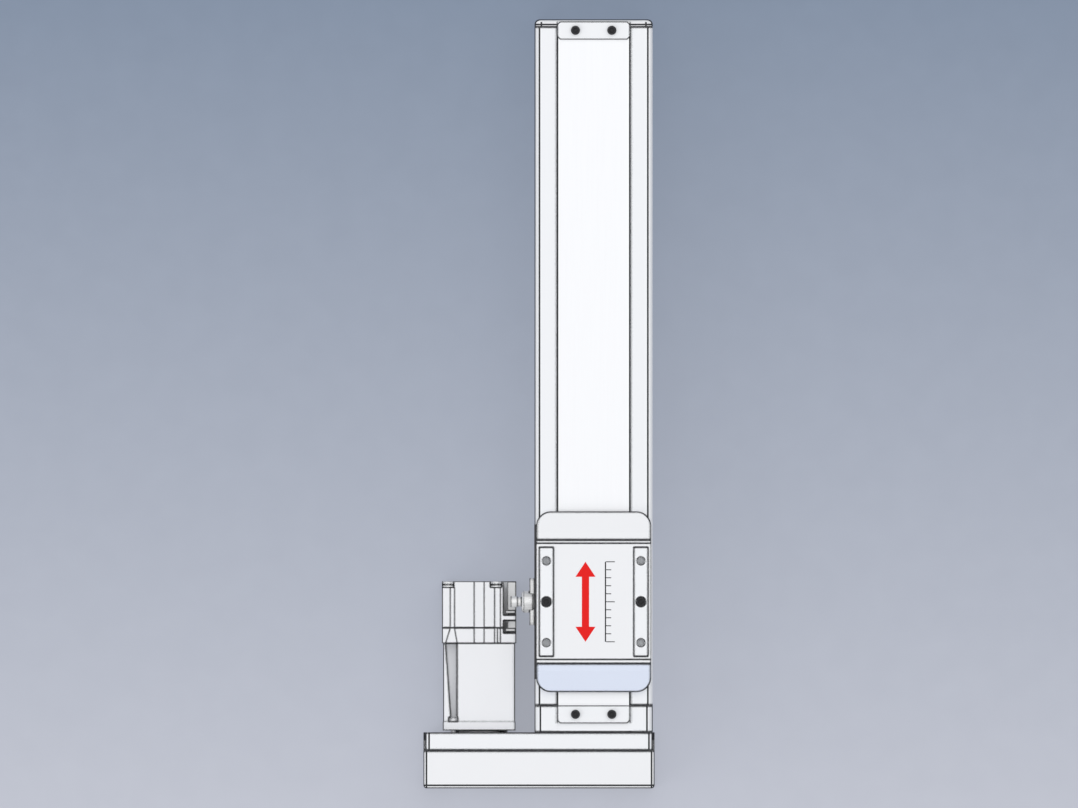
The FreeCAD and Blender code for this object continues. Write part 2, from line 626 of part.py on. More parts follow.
# Side covers, the band between them and its magnets
def make_covers():
    tongue_inner = tongue_middle - tongue_wide / 2 + fit
    tongue_outer = tongue_middle + tongue_wide / 2 - fit
    magnet_out = recess_half - gap
    magnet_in = magnet_out - magnet_wide
    outline = [
        (half - cover_foot, wall_top),
        (tongue_inner, wall_top),
        (tongue_inner, wall_top - tongue_deep + fit),
        (tongue_outer, wall_top - tongue_deep + fit),
        (tongue_outer, wall_top),
        (half, wall_top),
        (half, axis_height),
        (recess_half, axis_height),
        (recess_half, recess_floor),
        (magnet_out, recess_floor),
        (magnet_out, recess_floor - magnet_deep),
        (magnet_in, recess_floor - magnet_deep),
        (magnet_in, recess_floor),
        (mouth_half, recess_floor),
        (mouth_half, axis_height - cover_top),
        (half - cover_wall, axis_height - cover_top),
        (half - cover_wall, wall_top + cover_top),
        (half - cover_foot, wall_top + cover_top),
    ]
    magnets = []
    for side in (-1, 1):
        name = "side_cover_right" if side > 0 else "cover_blank"
        cover = prism(name, "Y", mirrored(outline, side), near_face, far_face)
        dress(cover, "Fillet", cover_edge, edges_at("Y", (half * side, axis_height)))
        if side > 0:
            node(cover)
        else:
            inside = -(half - cover_wall) + over
            spigot = rod("port_hole", "X", (slider_middle, port_high), port_spigot + fit, -half, inside)
            threads = []
            for way in (-1, 1):
                centre = (slider_middle + port_bolt * way, port_high)
                threads.append(rod("port_thread", "X", centre, small_shank, -half, inside))
            node(cut("side_cover_left", cover, spigot, *threads))
        across = [magnet_in * side, magnet_out * side]
        across.sort(key=lambda length: length.value)
        high = (recess_floor - magnet_deep, recess_floor)
        magnets.append(block("magnet_strip", across, (near_face, far_face), high))
    node(group("band_magnets", magnets))

    near_end = near_face - clamp_near + band_end_in
    far_end = far_face + clamp_over - band_end_in
    rise_near = slider_near + ramp_start
    rise_far = slider_far - ramp_start
    lower = [
        (near_end, recess_floor),
        (rise_near, recess_floor),
        (rise_near + ramp_run, arch_low),
        (rise_far - ramp_run, arch_low),
        (rise_far, recess_floor),
        (far_end, recess_floor),
    ]
    upper = [(along, high + band_thick) for along, high in reversed(lower)]
    strip = prism("band_strip", "X", lower + upper, -band_half, band_half)
    holes = []
    for along in (near_face - clamp_bolt_near, far_face - clamp_bolt_far):
        for side in (-1, 1):
            centre = (clamp_bolt_side * side, along)
            low, high = recess_floor - over, band_top + over
            holes.append(rod("band_hole", "Z", centre, small_shank + fit * 2, low, high))
    node(cut("cover_band", strip, *holes))


# Near bearing block, far support block, end cover and band clamps
def far_face_edges(edge):
    """The edges of the far end cover's outer face, apart from the lowest one."""
    spots = [vertex.Point for vertex in edge.Vertexes]
    outer = all(abs(spot.y - far_cover.value) < 0.01 for spot in spots)
    return outer and any(spot.z > 0.01 for spot in spots)


def make_ends():
    recess_outline = [
        (half, 0),
        (half, axis_height),
        (recess_half, axis_height),
        (recess_half, recess_floor),
    ]
    near_form = prism("near_form", "Y", both_sides(recess_outline), block_face, near_face)
    dress(near_form, "Fillet", near_edge, edges_at("Y", (half, axis_height), (-half, axis_height)))
    bearing_back = block_face + near_wide * 2
    middle = (0, screw_height)
    tools = [
        rod("near_seat", "Y", middle, near_ring, block_face, bearing_back),
        rod("near_shoulder", "Y", middle, near_ring - shoulder_wall, bearing_back, near_face),
    ]
    for side in (-1, 1):
        for across, high in tie_spots:
            centre = (across * side, high)
            tools.append(rod("near_tie", "Y", centre, tie_shank + fit, block_face, near_face))
        centre = (clamp_bolt_side * side, near_face - clamp_bolt_near)
        tools.append(rod("near_tap", "Z", centre, small_shank, recess_floor - small_reach, recess_floor))
    node(cut("near_end_block", near_form, *tools))

    top_half = mouth_half - fit * 2
    support_half = cavity_half - far_block_side
    block_bolt_side = cavity_half - block_bolt_in
    support_outline = [
        (support_half, floor_thick),
        (support_half, axis_height - cover_top),
        (top_half, axis_height - cover_top),
        (top_half, recess_floor),
    ]
    support_near = far_face - far_block
    support = prism("support_form", "Y", both_sides(support_outline), support_near, far_face)
    tools = [
        rod("far_seat", "Y", middle, far_ring, far_bearing, far_face),
        rod("far_shoulder", "Y", middle, far_ring - shoulder_wall, support_near, far_bearing),
    ]
    for side in (-1, 1):
        centre = (clamp_bolt_side * side, far_face - clamp_bolt_far)
        tools.append(rod("far_tap", "Z", centre, small_shank, recess_floor - small_reach, recess_floor))
        centre = (block_bolt_side * side, block_bolt_high)
        tools.append(rod("block_tap", "Y", centre, small_shank, far_face - small_reach, far_face))
    node(cut("far_support_block", support, *tools))

    far_outer = far_face + far_cover
    far_form = prism("far_form", "Y", both_sides([(half, 0), (half, axis_height)]), far_face, far_outer)
    dress(far_form, "Fillet", far_side, edges_at("Y", (half, axis_height), (-half, axis_height)))
    dress(far_form, "Fillet", far_edge, far_face_edges)
    head_seat = far_outer - far_sunk - flat_head_thick
    tools = [block("far_recess", (-recess_half, recess_half), (far_face, far_outer + over),
                   (recess_floor, axis_height + over))]
    screws = []
    for side in (-1, 1):
        spots = [(across, high, tie_shank, far_head, tie_reach) for across, high in tie_spots]
        short = small_reach - tap_spare
        spots.append((block_bolt_side, block_bolt_high, small_shank, small_head, short))
        for across, high, shank, head, reach in spots:
            centre = (across * side, high)
            tools.append(rod("far_hole", "Y", centre, shank + fit, far_face, far_outer))
            tools.append(rod("far_sink", "Y", centre, head + fit, head_seat, far_outer))
            reach_all = reach + far_cover - far_sunk - flat_head_thick
            screws.append(screw_solid("far_screw", "Y", centre, head_seat, shank, head,
                                      flat_head_thick, reach_all, 1))
    node(cut("far_end_cover", far_form, *tools))
    node(group("far_cover_screws", screws))

    clamp_screws = []
    plates = (
        ("near", near_face - clamp_near, near_face, near_face - clamp_bolt_near),
        ("far", far_face + clamp_over - clamp_far, far_face + clamp_over, far_face - clamp_bolt_far),
    )
    plate_half = band_half + band_side / 2
    for end_name, start, end, bolt in plates:
        outline = [(-plate_half, start), (plate_half, start), (plate_half, end), (-plate_half, end)]
        plate = prism(f"clamp_{end_name}_form", "Z", outline, band_top, band_top + clamp_thick)
        corners = outline[:2] if end_name == "near" else outline
        dress(plate, "Chamfer", clamp_corner, edges_at("Z", *corners))
        holes = []
        for side in (-1, 1):
            centre = (clamp_bolt_side * side, bolt)
            high = band_top + clamp_thick
            holes.append(rod("clamp_hole", "Z", centre, small_shank + fit, band_top, high))
            clamp_screws.append(screw_solid("clamp_screw", "Z", centre, high, small_shank, small_head,
                                            small_head_thick, small_reach, 1))
        node(cut(f"clamp_plate_{end_name}", plate, *holes))
    node(group("clamp_screws", clamp_screws))

    for end_name, start, end in (
        ("near", near_face, near_face + bumper_long),
        ("far", support_near - bumper_long, support_near),
    ):
        pair = []
        for side in (-1, 1):
            centre = ((carriage_half - bumper_in) * side, bumper_high)
            pair.append(rod("bumper", "Y", centre, bumper_radius, start, end))
        node(group(f"bumper_{end_name}", pair))


# Ball screw, its bearings, lock nut and retaining ring
def make_screw():
    middle = (0, screw_height)
    bearing_back = block_face + near_wide * 2
    inner_near = seat_radius + ring_inner
    inner_far = tail_radius + ring_inner
    shaft = [
        (0, pulley_far),
        (tail_radius, pulley_far),
        (tail_radius, pulley_near),
        (seat_radius, pulley_near),
        (seat_radius, bearing_back),
        (inner_near - fit * 2, bearing_back),
        (inner_near - fit * 2, bearing_back + gap),
        (screw_radius, bearing_back + gap),
        (screw_radius, far_bearing - gap),
        (inner_far - fit * 2, far_bearing - gap),
        (inner_far - fit * 2, far_bearing),
        (tail_radius, far_bearing),
        (tail_radius, far_face - tail_end),
        (0, far_face - tail_end),
    ]
    node(lathe("ball_screw_shaft", "Y", middle, shaft))

    outer_rings = []
    inner_rings = []
    bearings = (
        (block_face, near_wide, seat_radius, near_ring),
        (block_face + near_wide, near_wide, seat_radius, near_ring),
        (far_bearing, far_wide, tail_radius, far_ring),
    )
    for start, wide, inner, outer in bearings:
        shield = inner + ring_inner + ring_gap
        outline = [(shield, start), (outer, start), (outer, start + wide), (shield, start + wide)]
        ring = [
            (inner, start),
            (inner + ring_inner, start),
            (inner + ring_inner, start + wide),
            (inner, start + wide),
        ]
        if len(outer_rings) < 2:
            outer_rings.append(lathe("outer_ring", "Y", middle, outline))
            inner_rings.append(lathe("inner_ring", "Y", middle, ring))
        else:
            node(lathe("far_bearing_outer", "Y", middle, outline))
            node(lathe("far_bearing_inner", "Y", middle, ring))
    node(group("near_bearing_outer", outer_rings))
    node(group("near_bearing_inner", inner_rings))

    lock_neck_radius = inner_near - fit * 2
    lock = [
        (seat_radius, block_face - lock_long),
        (lock_radius, block_face - lock_long),
        (lock_radius, block_face - lock_neck),
        (lock_neck_radius, block_face - lock_neck),
        (lock_neck_radius, block_face),
        (seat_radius, block_face),
    ]
    node(lathe("screw_lock_nut", "Y", middle, lock))
    clip_start = far_bearing + far_wide
    clip = [
        (tail_radius, clip_start),
        (inner_far - fit * 2, clip_start),
        (inner_far - fit * 2, clip_start + clip_wide),
        (tail_radius, clip_start + clip_wide),
    ]
    node(lathe("retaining_ring", "Y", middle, clip))


# Adapter plate and belt cover
def rounded_plate(name, left, right, low, high, start, end, corner):
    """A plate across the axis with four rounded corners."""
    outline = [(left, low), (right, low), (right, high), (left, high)]
    plate = prism(name, "Y", outline, start, end)
    return dress(plate, "Fillet", corner, edges_at("Y", *outline))


def make_drive_housing():
    left = motor_x - plate_left
    plate = rounded_plate("plate_form", left, plate_right, plate_low, plate_high,
                          plate_face, block_face, plate_corner)
    motor_centre = (motor_x, screw_height)
    pilot_floor = motor_face - pilot_long
    tools = [
        rod("lock_bore", "Y", (0, screw_height), near_ring - shoulder_wall, plate_face, block_face),
        rod("pilot_bore", "Y", motor_centre, pilot_radius + fit, pilot_floor, block_face),
        rod("shaft_bore", "Y", motor_centre, shaft_way, plate_face, pilot_floor),
    ]
    tie_screws = []
    seat = plate_face + tie_head_thick
    for side in (-1, 1):
        for across, high in tie_spots:
            centre = (across * side, high)
            tools.append(rod("tie_hole", "Y", centre, tie_shank + fit, plate_face, block_face))
            tools.append(rod("tie_sink", "Y", centre, tie_head + fit, plate_face, seat))
            reach = near_face + tie_reach - seat
            tie_screws.append(screw_solid("tie_screw", "Y", centre, seat, tie_shank, tie_head,
                                          tie_head_thick, reach, -1))
    mount_screws = []
    for way in (-1, 1):
        centre = (motor_x + motor_bolt * way, screw_height - motor_bolt * way)
        tools.append(rod("motor_thread", "Y", centre, small_shank, plate_face, block_face))
        reach = flange_long + motor_stand + small_reach
        mount_screws.append(screw_solid("mount_screw", "Y", centre, motor_flange_back, small_shank,
                                        small_head, small_head_thick + gap, reach, 1))
    shell_spots = []
    for across in (left + shell_bolt_side, plate_right - shell_bolt_right):
        for high in (plate_low + shell_bolt_edge, plate_high - shell_bolt_edge):
            shell_spots.append((across, high))
    for centre in shell_spots:
        tools.append(rod("shell_thread", "Y", centre, small_shank, plate_face, plate_face + small_reach))
    node(cut("adapter_plate", plate, *tools))
    node(group("tie_screws", tie_screws))
    node(group("motor_mount_screws", mount_screws))

    outer_left, outer_right = left - shell_over, plate_right + shell_over
    outer_low, outer_high = plate_low - shell_over, plate_high + shell_over
    outline = [
        (outer_left, outer_low),
        (outer_right, outer_low),
        (outer_right, outer_high),
        (outer_left, outer_high),
    ]
    shell = prism("shell_form", "Y", outline, shell_face, plate_face)
    corners = edges_at("Y", *outline)
    dress(shell, "Fillet", shell_edge, lambda edge: corners(edge) or front_edges(edge))
    hollow = rounded_plate("shell_hollow", outer_left + shell_wall, outer_right - shell_wall,
                           outer_low + shell_wall, outer_high - shell_wall,
                           shell_face + shell_wall, plate_face, plate_corner)
    bosses = []
    drills = []
    shell_screws = []
    head_seat = shell_face + flat_head_thick
    for centre in shell_spots:
        bosses.append(rod("shell_boss", "Y", centre, boss_radius, shell_face + shell_wall, plate_face))
        drills.append(rod("shell_drill", "Y", centre, small_shank + fit, shell_face, plate_face))
        drills.append(rod("shell_sink", "Y", centre, small_head + fit, shell_face, head_seat))
        reach = cover_depth - flat_head_thick + small_reach - end_room
        shell_screws.append(screw_solid("shell_screw", "Y", centre, head_seat, small_shank, small_head,
                                        flat_head_thick, reach, -1))
    ears = []
    ear_low, ear_high = plate_low + plate_corner, plate_high - plate_corner
    for across in ((outer_left, left), (plate_right, outer_right)):
        outline = [
            (plate_face, ear_low),
            (block_face - ear_corner, ear_low),
            (block_face, ear_low + ear_corner),
            (block_face, ear_high - ear_corner),
            (block_face - ear_corner, ear_high),
            (plate_face, ear_high),
        ]
        ears.append(prism("shell_ear", "X", outline, *across))
    whole = fuse("shell_whole", cut("shell_open", shell, hollow), *bosses, *ears)
    node(cut("belt_cover", whole, *drills))
    node(group("belt_cover_screws", shell_screws))


def front_edges(edge):
    """The edges of the belt cover's outer face, which lies at the start of its body."""
    return all(abs(vertex.Point.y) < 0.01 for vertex in edge.Vertexes)


# Toothed pulleys, the motor's shaft and the belt
def make_pulley(name, across, bore):
    body = doc.addObject("PartDesign::Body", name)
    crown = new_sketch(body, name + "_crown", "XZ_Plane")
    circle(crown, crown_radius)
    pad = body.newObject("PartDesign::Pad", name + "_teeth")
    pad.Profile = crown
    bind(pad, "Length", pulley_wide)
    doc.recompute()

    space = new_sketch(body, name + "_space", "XZ_Plane")
    mouth = groove_mouth / 2
    root = groove_root / 2
    draw(space, [
        (-root, crown_radius - groove_deep),
        (root, crown_radius - groove_deep),
        (mouth, crown_radius),
        (mouth, crown_radius + over),
        (-mouth, crown_radius + over),
        (-mouth, crown_radius),
    ])
    pocket = body.newObject("PartDesign::Pocket", name + "_groove")
    pocket.Profile = space
    pocket.Type = "ThroughAll"
    pocket.Midplane = True
    doc.recompute()
    pattern = body.newObject("PartDesign::PolarPattern", name + "_pattern")
    pattern.Originals = [pocket]
    pattern.Axis = (space, ["N_Axis"])
    pattern.Angle = 360
    bind(pattern, "Occurrences", pulley_teeth)
    body.Tip = pattern
    doc.recompute()

    for start in (0, pulley_wide - flange_thick):
        flange = new_sketch(body, name + "_flange", "XZ_Plane", start)
        circle(flange, flange_radius)
        pad = body.newObject("PartDesign::Pad", name + "_flange_pad")
        pad.Profile = flange
        bind(pad, "Length", flange_thick)
    hole = new_sketch(body, name + "_bore", "XZ_Plane")
    circle(hole, bore)
    bored = body.newObject("PartDesign::Pocket", name + "_bored")
    bored.Profile = hole
    bored.Type = "ThroughAll"
    bored.Midplane = True
    place(body, across, pulley_near, screw_height)
    return node(body)


def belt_shape():
    """The closed belt: a smooth back round both pulleys and a tooth at every pitch inside."""
    land = crown_radius.value + belt_lift.value
    back = land + belt_back.value
    far_x = motor_x.value
    wide = belt_wide.value
    high = screw_height.value
    start = pulley_near.value - flange_thick.value - belt_side.value - wide

    def loop(radius):
        right = Part.Arc(Vector(0, start, high - radius), Vector(radius, start, high),
                         Vector(0, start, high + radius)).toShape()
        top = Part.LineSegment(Vector(0, start, high + radius), Vector(far_x, start, high + radius))
        left = Part.Arc(Vector(far_x, start, high + radius), Vector(far_x - radius, start, high),
                        Vector(far_x, start, high - radius)).toShape()
        bottom = Part.LineSegment(Vector(far_x, start, high - radius), Vector(0, start, high - radius))
        return Part.Wire([right, top.toShape(), left, bottom.toShape()])

    def tooth(spot, outward):
        along = Vector(-outward.z, 0, outward.x)
        corners = []
        for share, depth, width in ((-1, tooth_seat.value, tooth_root), (1, tooth_seat.value, tooth_root),
                                    (1, -belt_tooth.value, tooth_tip), (-1, -belt_tooth.value, tooth_tip)):
            corners.append(spot + along * (share * width / 2) + outward * depth)
        return Part.Face(Part.makePolygon(corners + corners[:1])).extrude(Vector(0, wide, 0))

    tooth_root = groove_mouth.value - tooth_slack.value
    tooth_tip = groove_root.value - tooth_slack.value
    half_teeth = round(pulley_teeth.value / 2)
    runs = round(centre_distance.value / pitch.value)
    teeth = []
    for centre_x, first in ((0, -90), (far_x, 90)):
        for number in range(half_teeth + 1):
            angle = math.radians(first + 180 * number / half_teeth)
            outward = Vector(math.cos(angle), 0, math.sin(angle))
            teeth.append(tooth(Vector(centre_x, start, high) + outward * land, outward))
    for number in range(1, runs):
        across = far_x * number / runs
        for way in (-1, 1):
            outward = Vector(0, 0, way)
            teeth.append(tooth(Vector(across, start, high) + outward * land, outward))
    outer = Part.Face(loop(back)).extrude(Vector(0, wide, 0))
    inner = Part.Face(loop(land)).extrude(Vector(0, wide, 0))
    return outer.cut(inner).fuse(teeth).removeSplitter()


def make_belt_drive():
    make_pulley("screw_pulley", 0, tail_radius)
    make_pulley("motor_pulley", motor_x, shaft_radius)
    centre = (motor_x, screw_height)
    node(rod("motor_shaft", "Y", centre, shaft_radius, motor_face - shaft_out, motor_face + shaft_in))
    belt = doc.addObject("Part::Feature", "timing_belt")
    belt.Shape = belt_shape()
    node(belt)


# Motor
def make_motor():
    centre = (motor_x, screw_height)

    def square(name, width, start, end):
        reach = width / 2
        return rounded_plate(name, motor_x - reach, motor_x + reach, screw_height - reach,
                             screw_height + reach, start, end, motor_corner)

    flange = square("motor_flange", motor_width, motor_face, motor_flange_back)
    stack = square("motor_stack", body_width, motor_flange_back, motor_cap_face)
    pilot = rod("motor_pilot", "Y", centre, pilot_radius, motor_face - pilot_long, motor_face)
    top = screw_height + body_width / 2 + over
    bottom = screw_height - body_width / 2 - over
    tools = [rod("shaft_hole", "Y", centre, shaft_radius + fit, motor_face - pilot_long,
                 motor_face + shaft_in + end_room)]
    recess_end = motor_flange_back + head_recess_long
    for way in (-1, 1):
        hole_x = motor_x + motor_bolt * way
        hole_z = screw_height - motor_bolt * way
        spot = (hole_x, hole_z)
        tools.append(rod("motor_hole", "Y", spot, small_shank + fit, motor_face, motor_flange_back))
        outline = [
            (hole_x + head_recess * way, motor_flange_back),
            (hole_x + head_recess * way, recess_end),
            (hole_x + channel_near * way, recess_end),
            (hole_x + channel_far * way, motor_cap_face),
            (hole_x - channel_inner * way, motor_cap_face),
            (hole_x - channel_inner * way, recess_end),
            (hole_x - head_recess * way, recess_end),
            (hole_x - head_recess * way, motor_flange_back),
        ]
        if way < 0:
            tools.append(prism("motor_channel", "Z", outline, hole_z - channel_high, top))
        else:
            tools.append(prism("motor_channel", "Z", outline, bottom, hole_z + channel_high))
    node(cut("motor_body", fuse("motor_form", flange, stack, pilot), *tools))

    cap = square("cap_form", cap_width, motor_cap_face, motor_rear)
    cap_top = screw_height + cap_width / 2
    cap_right = motor_x + cap_width / 2
    socket_left = cap_right - socket_wide
    seam_start = motor_cap_face + cap_seam
    rear_seat = motor_rear - rear_head_long
    groove_high = (cap_top - groove_low, cap_top + over)
    left_screw = motor_x - motor_bolt
    left_groove = [
        (left_screw - channel_far, motor_cap_face),
        (left_screw - left_groove_out, seam_start),
        (left_screw - left_groove_out, rear_seat),
        (left_screw + left_groove_in, rear_seat),
        (left_screw + left_groove_in, seam_start),
        (left_screw + channel_inner, motor_cap_face),
    ]
    right_groove = motor_x + right_groove_near
    tools = [
        block("cap_groove", (motor_x - groove_half, motor_x + groove_half), (motor_cap_face, motor_rear),
              groove_high),
        block("cap_seam_cut", (motor_x - cap_width, cap_right + over), (seam_start, seam_start + seam_wide),
              (cap_top - seam_wide, cap_top + over)),
        prism("left_groove", "Z", left_groove, *groove_high),
        block("right_groove", (right_groove, right_groove + right_groove_wide),
              (motor_cap_face, rear_seat), groove_high),
        block("right_groove_deep", (right_groove + right_groove_wide / 2, right_groove + right_groove_wide),
              (motor_cap_face, seam_start), (cap_top - groove_low * 2, cap_top + over)),
    ]
    for name, front, long in (
        ("motor_power_connector", power_front, power_long),
        ("motor_encoder_connector", signal_front, signal_long),
    ):
        start = motor_cap_face + front
        tools.append(block("socket", (socket_left, cap_right + over), (start, start + long),
                           (socket_floor, cap_top + over)))
        plug_top = plug_high - latch_thick
        plug = block(name + "_shell", (socket_left + plug_slot, cap_right - gap),
                     (start + gap, start + long - gap), (socket_floor, plug_top))
        latch_right = cap_right - gap * 2
        latch = block(name + "_latch", (latch_right - latch_wide, latch_right),
                      (start + latch_in, start + latch_in + latch_long), (plug_top, plug_high))
        node(fuse(name, plug, latch))
    screws = []
    spots = (
        (-rear_outer, rear_high),
        (rear_inner, rear_high),
        (-rear_outer, -rear_high),
        (rear_outer, -rear_high),
    )
    head_start = rear_seat + washer_long + washer_gap
    for across, high in spots:
        spot = (motor_x + across, screw_height + high)
        reach = rear_head + gap
        tools.append(rod("rear_sink", "Y", spot, reach, rear_seat, motor_rear))
        tools.append(rod("rear_hole", "Y", spot, small_shank, rear_seat - cap_long / 2, rear_seat))
        if high.value > 0:
            tools.append(block("rear_corner", (spot[0] - reach, spot[0] + reach), (rear_seat, motor_rear),
                               (spot[1], cap_top + over)))
        head = rod("rear_head", "Y", spot, rear_head, head_start, motor_rear)
        washer = screw_solid("rear_shank", "Y", spot, rear_seat, small_shank, rear_head, washer_long,
                             cap_long / 2, 1)
        neck = rod("rear_neck", "Y", spot, small_shank, rear_seat + washer_long, head_start)
        screws.append(fuse("rear_screw", washer, neck, head))
    node(cut("motor_encoder_cover", cap, *tools))
    node(group("motor_cover_screws", screws))


# Slider
def make_carriage():
    near = slider_middle - carriage_long / 2
    far = slider_middle + carriage_long / 2
    right_half = [(carriage_half, carriage_low), (carriage_half, carriage_high)]
    form = prism("carriage_form", "Y", both_sides(right_half), near, far)
    corners = both_sides(right_half)
    dress(form, "Chamfer", carriage_edge, edges_at("Y", *corners))
    middle = (0, screw_height)
    flange_seat = far - nut_flange_long
    tools = [
        rod("nut_bore", "Y", middle, nut_radius + fit, near, far),
        rod("nut_sink", "Y", middle, nut_flange + fit, flange_seat, far),
    ]
    for side in (-1, 1):
        for way in (-1, 1):
            centre = (carriage_half * side, screw_height + track_apart / 2 * way)
            tools.append(rod("carriage_track", "Y", centre, track_radius, near, far))
            tap = (saddle_bolt_side * side, slider_middle + saddle_bolt_along * way)
            tools.append(rod("saddle_tap", "Z", tap, tie_shank, saddle_bolt_end - end_room, carriage_high))
    node(cut("carriage_block", form, *tools))

    bore = screw_radius + gap
    nut = [
        (bore, near),
        (nut_radius, near),
        (nut_radius, flange_seat),
        (nut_flange, flange_seat),
        (nut_flange, far),
        (bore, far),
    ]
    node(lathe("ball_nut", "Y", middle, nut))
    for end_name, start, end in (("near", near - return_long, near), ("far", far, far + return_long)):
        cap_half = [
            (carriage_half - gap, carriage_low + gap),
            (carriage_half - gap, carriage_high - gap),
        ]
        cap = prism(f"return_form_{end_name}", "Y", both_sides(cap_half), start, end)
        dress(cap, "Chamfer", carriage_edge * 2, edges_at("Y", *both_sides(cap_half)))
        hole = rod("return_hole", "Y", middle, bore + return_way, start, end)
        node(cut(f"ball_return_cap_{end_name}", cap, hole))


def make_saddle():
    near = slider_middle - saddle_long / 2
    far = slider_middle + saddle_long / 2
    outline = [
        (neck_half, carriage_high),
        (neck_half, saddle_low),
        (saddle_half, saddle_low),
        (saddle_half, saddle_high),
    ]
    form = prism("saddle_form", "Y", both_sides(outline), near, far)
    head_seat = saddle_high - tie_head_thick - saddle_sunk
    tools = []
    screws = []
    pad_screws = []
    for side_name, side in SIDES:
        pad_middle = pad_side * side
        pad_span = (pad_middle - pad_wide / 2, pad_middle + pad_wide / 2)
        pad = block(f"pad_form_{side_name}", pad_span, (near, far), (saddle_high, pad_top))
        pad_tools = []
        for way in (-1, 1):
            centre = (saddle_bolt_side * side, slider_middle + saddle_bolt_along * way)
            tools.append(rod("saddle_hole", "Z", centre, tie_shank + fit, carriage_high, saddle_high))
            tools.append(rod("saddle_sink", "Z", centre, tie_head + gap, head_seat, saddle_high))
            reach = head_seat - saddle_bolt_end
            screws.append(screw_solid("saddle_screw", "Z", centre, head_seat, tie_shank, tie_head,
                                      tie_head_thick, reach, 1))
            centre = (pad_middle, slider_middle + table_bolt_long / 2 * way)
            pad_tools.append(rod("table_thread", "Z", centre, thread_five, saddle_high, pad_top))
            tools.append(rod("table_thread_low", "Z", centre, thread_five, saddle_low, saddle_high))
        centre = (pad_middle, slider_middle)
        pad_seat = pad_top - pad_head_thick - gap
        pad_tools.append(rod("pad_hole", "Z", centre, small_shank + fit, saddle_high, pad_top))
        pad_tools.append(rod("pad_sink", "Z", centre, pad_head + fit, pad_seat, pad_top))
        tools.append(rod("pad_tap", "Z", centre, small_shank, saddle_low, saddle_high))
        reach = pad_seat - saddle_low - gap
        pad_screws.append(screw_solid("pad_screw", "Z", centre, pad_seat, small_shank, pad_head,
                                      pad_head_thick, reach, 1))
        node(cut(f"pad_{side_name}", pad, *pad_tools))
    node(cut("saddle", form, *tools))
    node(group("saddle_screws", screws))
    node(group("pad_screws", pad_screws))


def make_slider_cover():
    tray_under = slider_top - tray_thick
    skirt_in = skirt_half - skirt_wall
    right_half = [
        (rib_inner, tray_under),
        (rib_inner, saddle_high),
        (rib_outer, saddle_high),
        (rib_outer, tray_under),
        (skirt_in, tray_under),
        (skirt_in, slider_low),
        (skirt_half, slider_low),
        (skirt_half, slider_top),
    ]
    tray = prism("tray_form", "Y", both_sides(right_half), table_near, table_far)
    windows = []
    for side in (-1, 1):
        reach = pad_wide / 2 + fit * 2
        across = (pad_side * side - reach, pad_side * side + reach)
        along = (slider_middle - saddle_long / 2 - fit * 2, slider_middle + saddle_long / 2 + fit * 2)
        windows.append(block("pad_window", across, along, (tray_under - over, slider_top)))
    node(cut("table_cover", tray, *windows))

    passage_top = tray_under - slot_roof
    for end_name, start, end in (
        ("near", slider_near + cap_length, table_near),
        ("far", table_far, slider_far - cap_length),
    ):
        plate = block(f"seal_form_{end_name}", (-skirt_half, skirt_half), (start, end),
                      (slider_low, slider_top))
        slot = block(f"seal_slot_{end_name}", (-rib_inner, rib_inner), (start, end),
                     (slider_low, passage_top))
        node(cut(f"seal_plate_{end_name}", plate, slot))

    for end_name, outer, inner, way in (
        ("near", slider_near, slider_near + cap_length, 1),
        ("far", slider_far, slider_far - cap_length, -1),
    ):
        outline = [
            (outer, slider_low),
            (inner, slider_low),
            (inner, slider_top),
            (inner - cap_flat * way, slider_top),
            (outer, cap_low),
        ]
        cap = prism(f"cap_form_{end_name}", "X", outline, -skirt_half, skirt_half)
        doc.recompute()
        dress(cap, "Fillet", cap_corner, upright_edges(outer))
        way_outline = [
            (outer, slider_low),
            (inner, slider_low),
            (inner, passage_top),
            (outer + ramp_start * way, cap_low - cap_wall),
            (outer, cap_low - cap_wall),
        ]
        tunnel = prism(f"cap_tunnel_{end_name}", "X", way_outline, -rib_inner, rib_inner)
        node(cut(f"end_cap_{end_name}", cap, tunnel))

    wipers = []
    for end_name, outer, way in (("near", slider_near, 1), ("far", slider_far, -1)):
        rise = outer + ramp_start * way
        spots = [outer + wiper_in * way, outer + (wiper_in + wiper_long) * way]
        spots.sort(key=lambda length: length.value)
        wipers.append(block("wiper", (-band_half, band_half), spots, (band_top + fit, cap_low - cap_wall)))

        tip = rise + guide_short * way
        root = slider_middle - saddle_long / 2 * way
        slope = (arch_low - recess_floor) / ramp_run
        tip_high = recess_floor + guide_short * slope - gap
        guide = prism(f"band_guide_{end_name}", "X", [
            (tip, axis_height),
            (root, axis_height),
            (root, saddle_high),
            (rise + ramp_run * way, saddle_high),
            (tip, tip_high),
        ], -band_half + guide_side, band_half - guide_side)
        node(guide)
    node(group("band_wipers", wipers))

    along = (slider_middle - flag_long / 2, slider_middle + flag_long / 2)
    across = (-skirt_half - flag_thick, -skirt_half)
    flag_low = axis_height + flag_lift
    node(block("side_strip", across, along, (flag_low, flag_low + flag_tall)))


def upright_edges(outer):
    """A test for a cap's upright edges at its outer end."""

    def test(edge):
        spots = [vertex.Point for vertex in edge.Vertexes]
        upright = len(spots) == 2 and abs(spots[0].z - spots[1].z) > 1
        return upright and all(abs(spot.y - outer.value) < 0.01 for spot in spots)

    return test


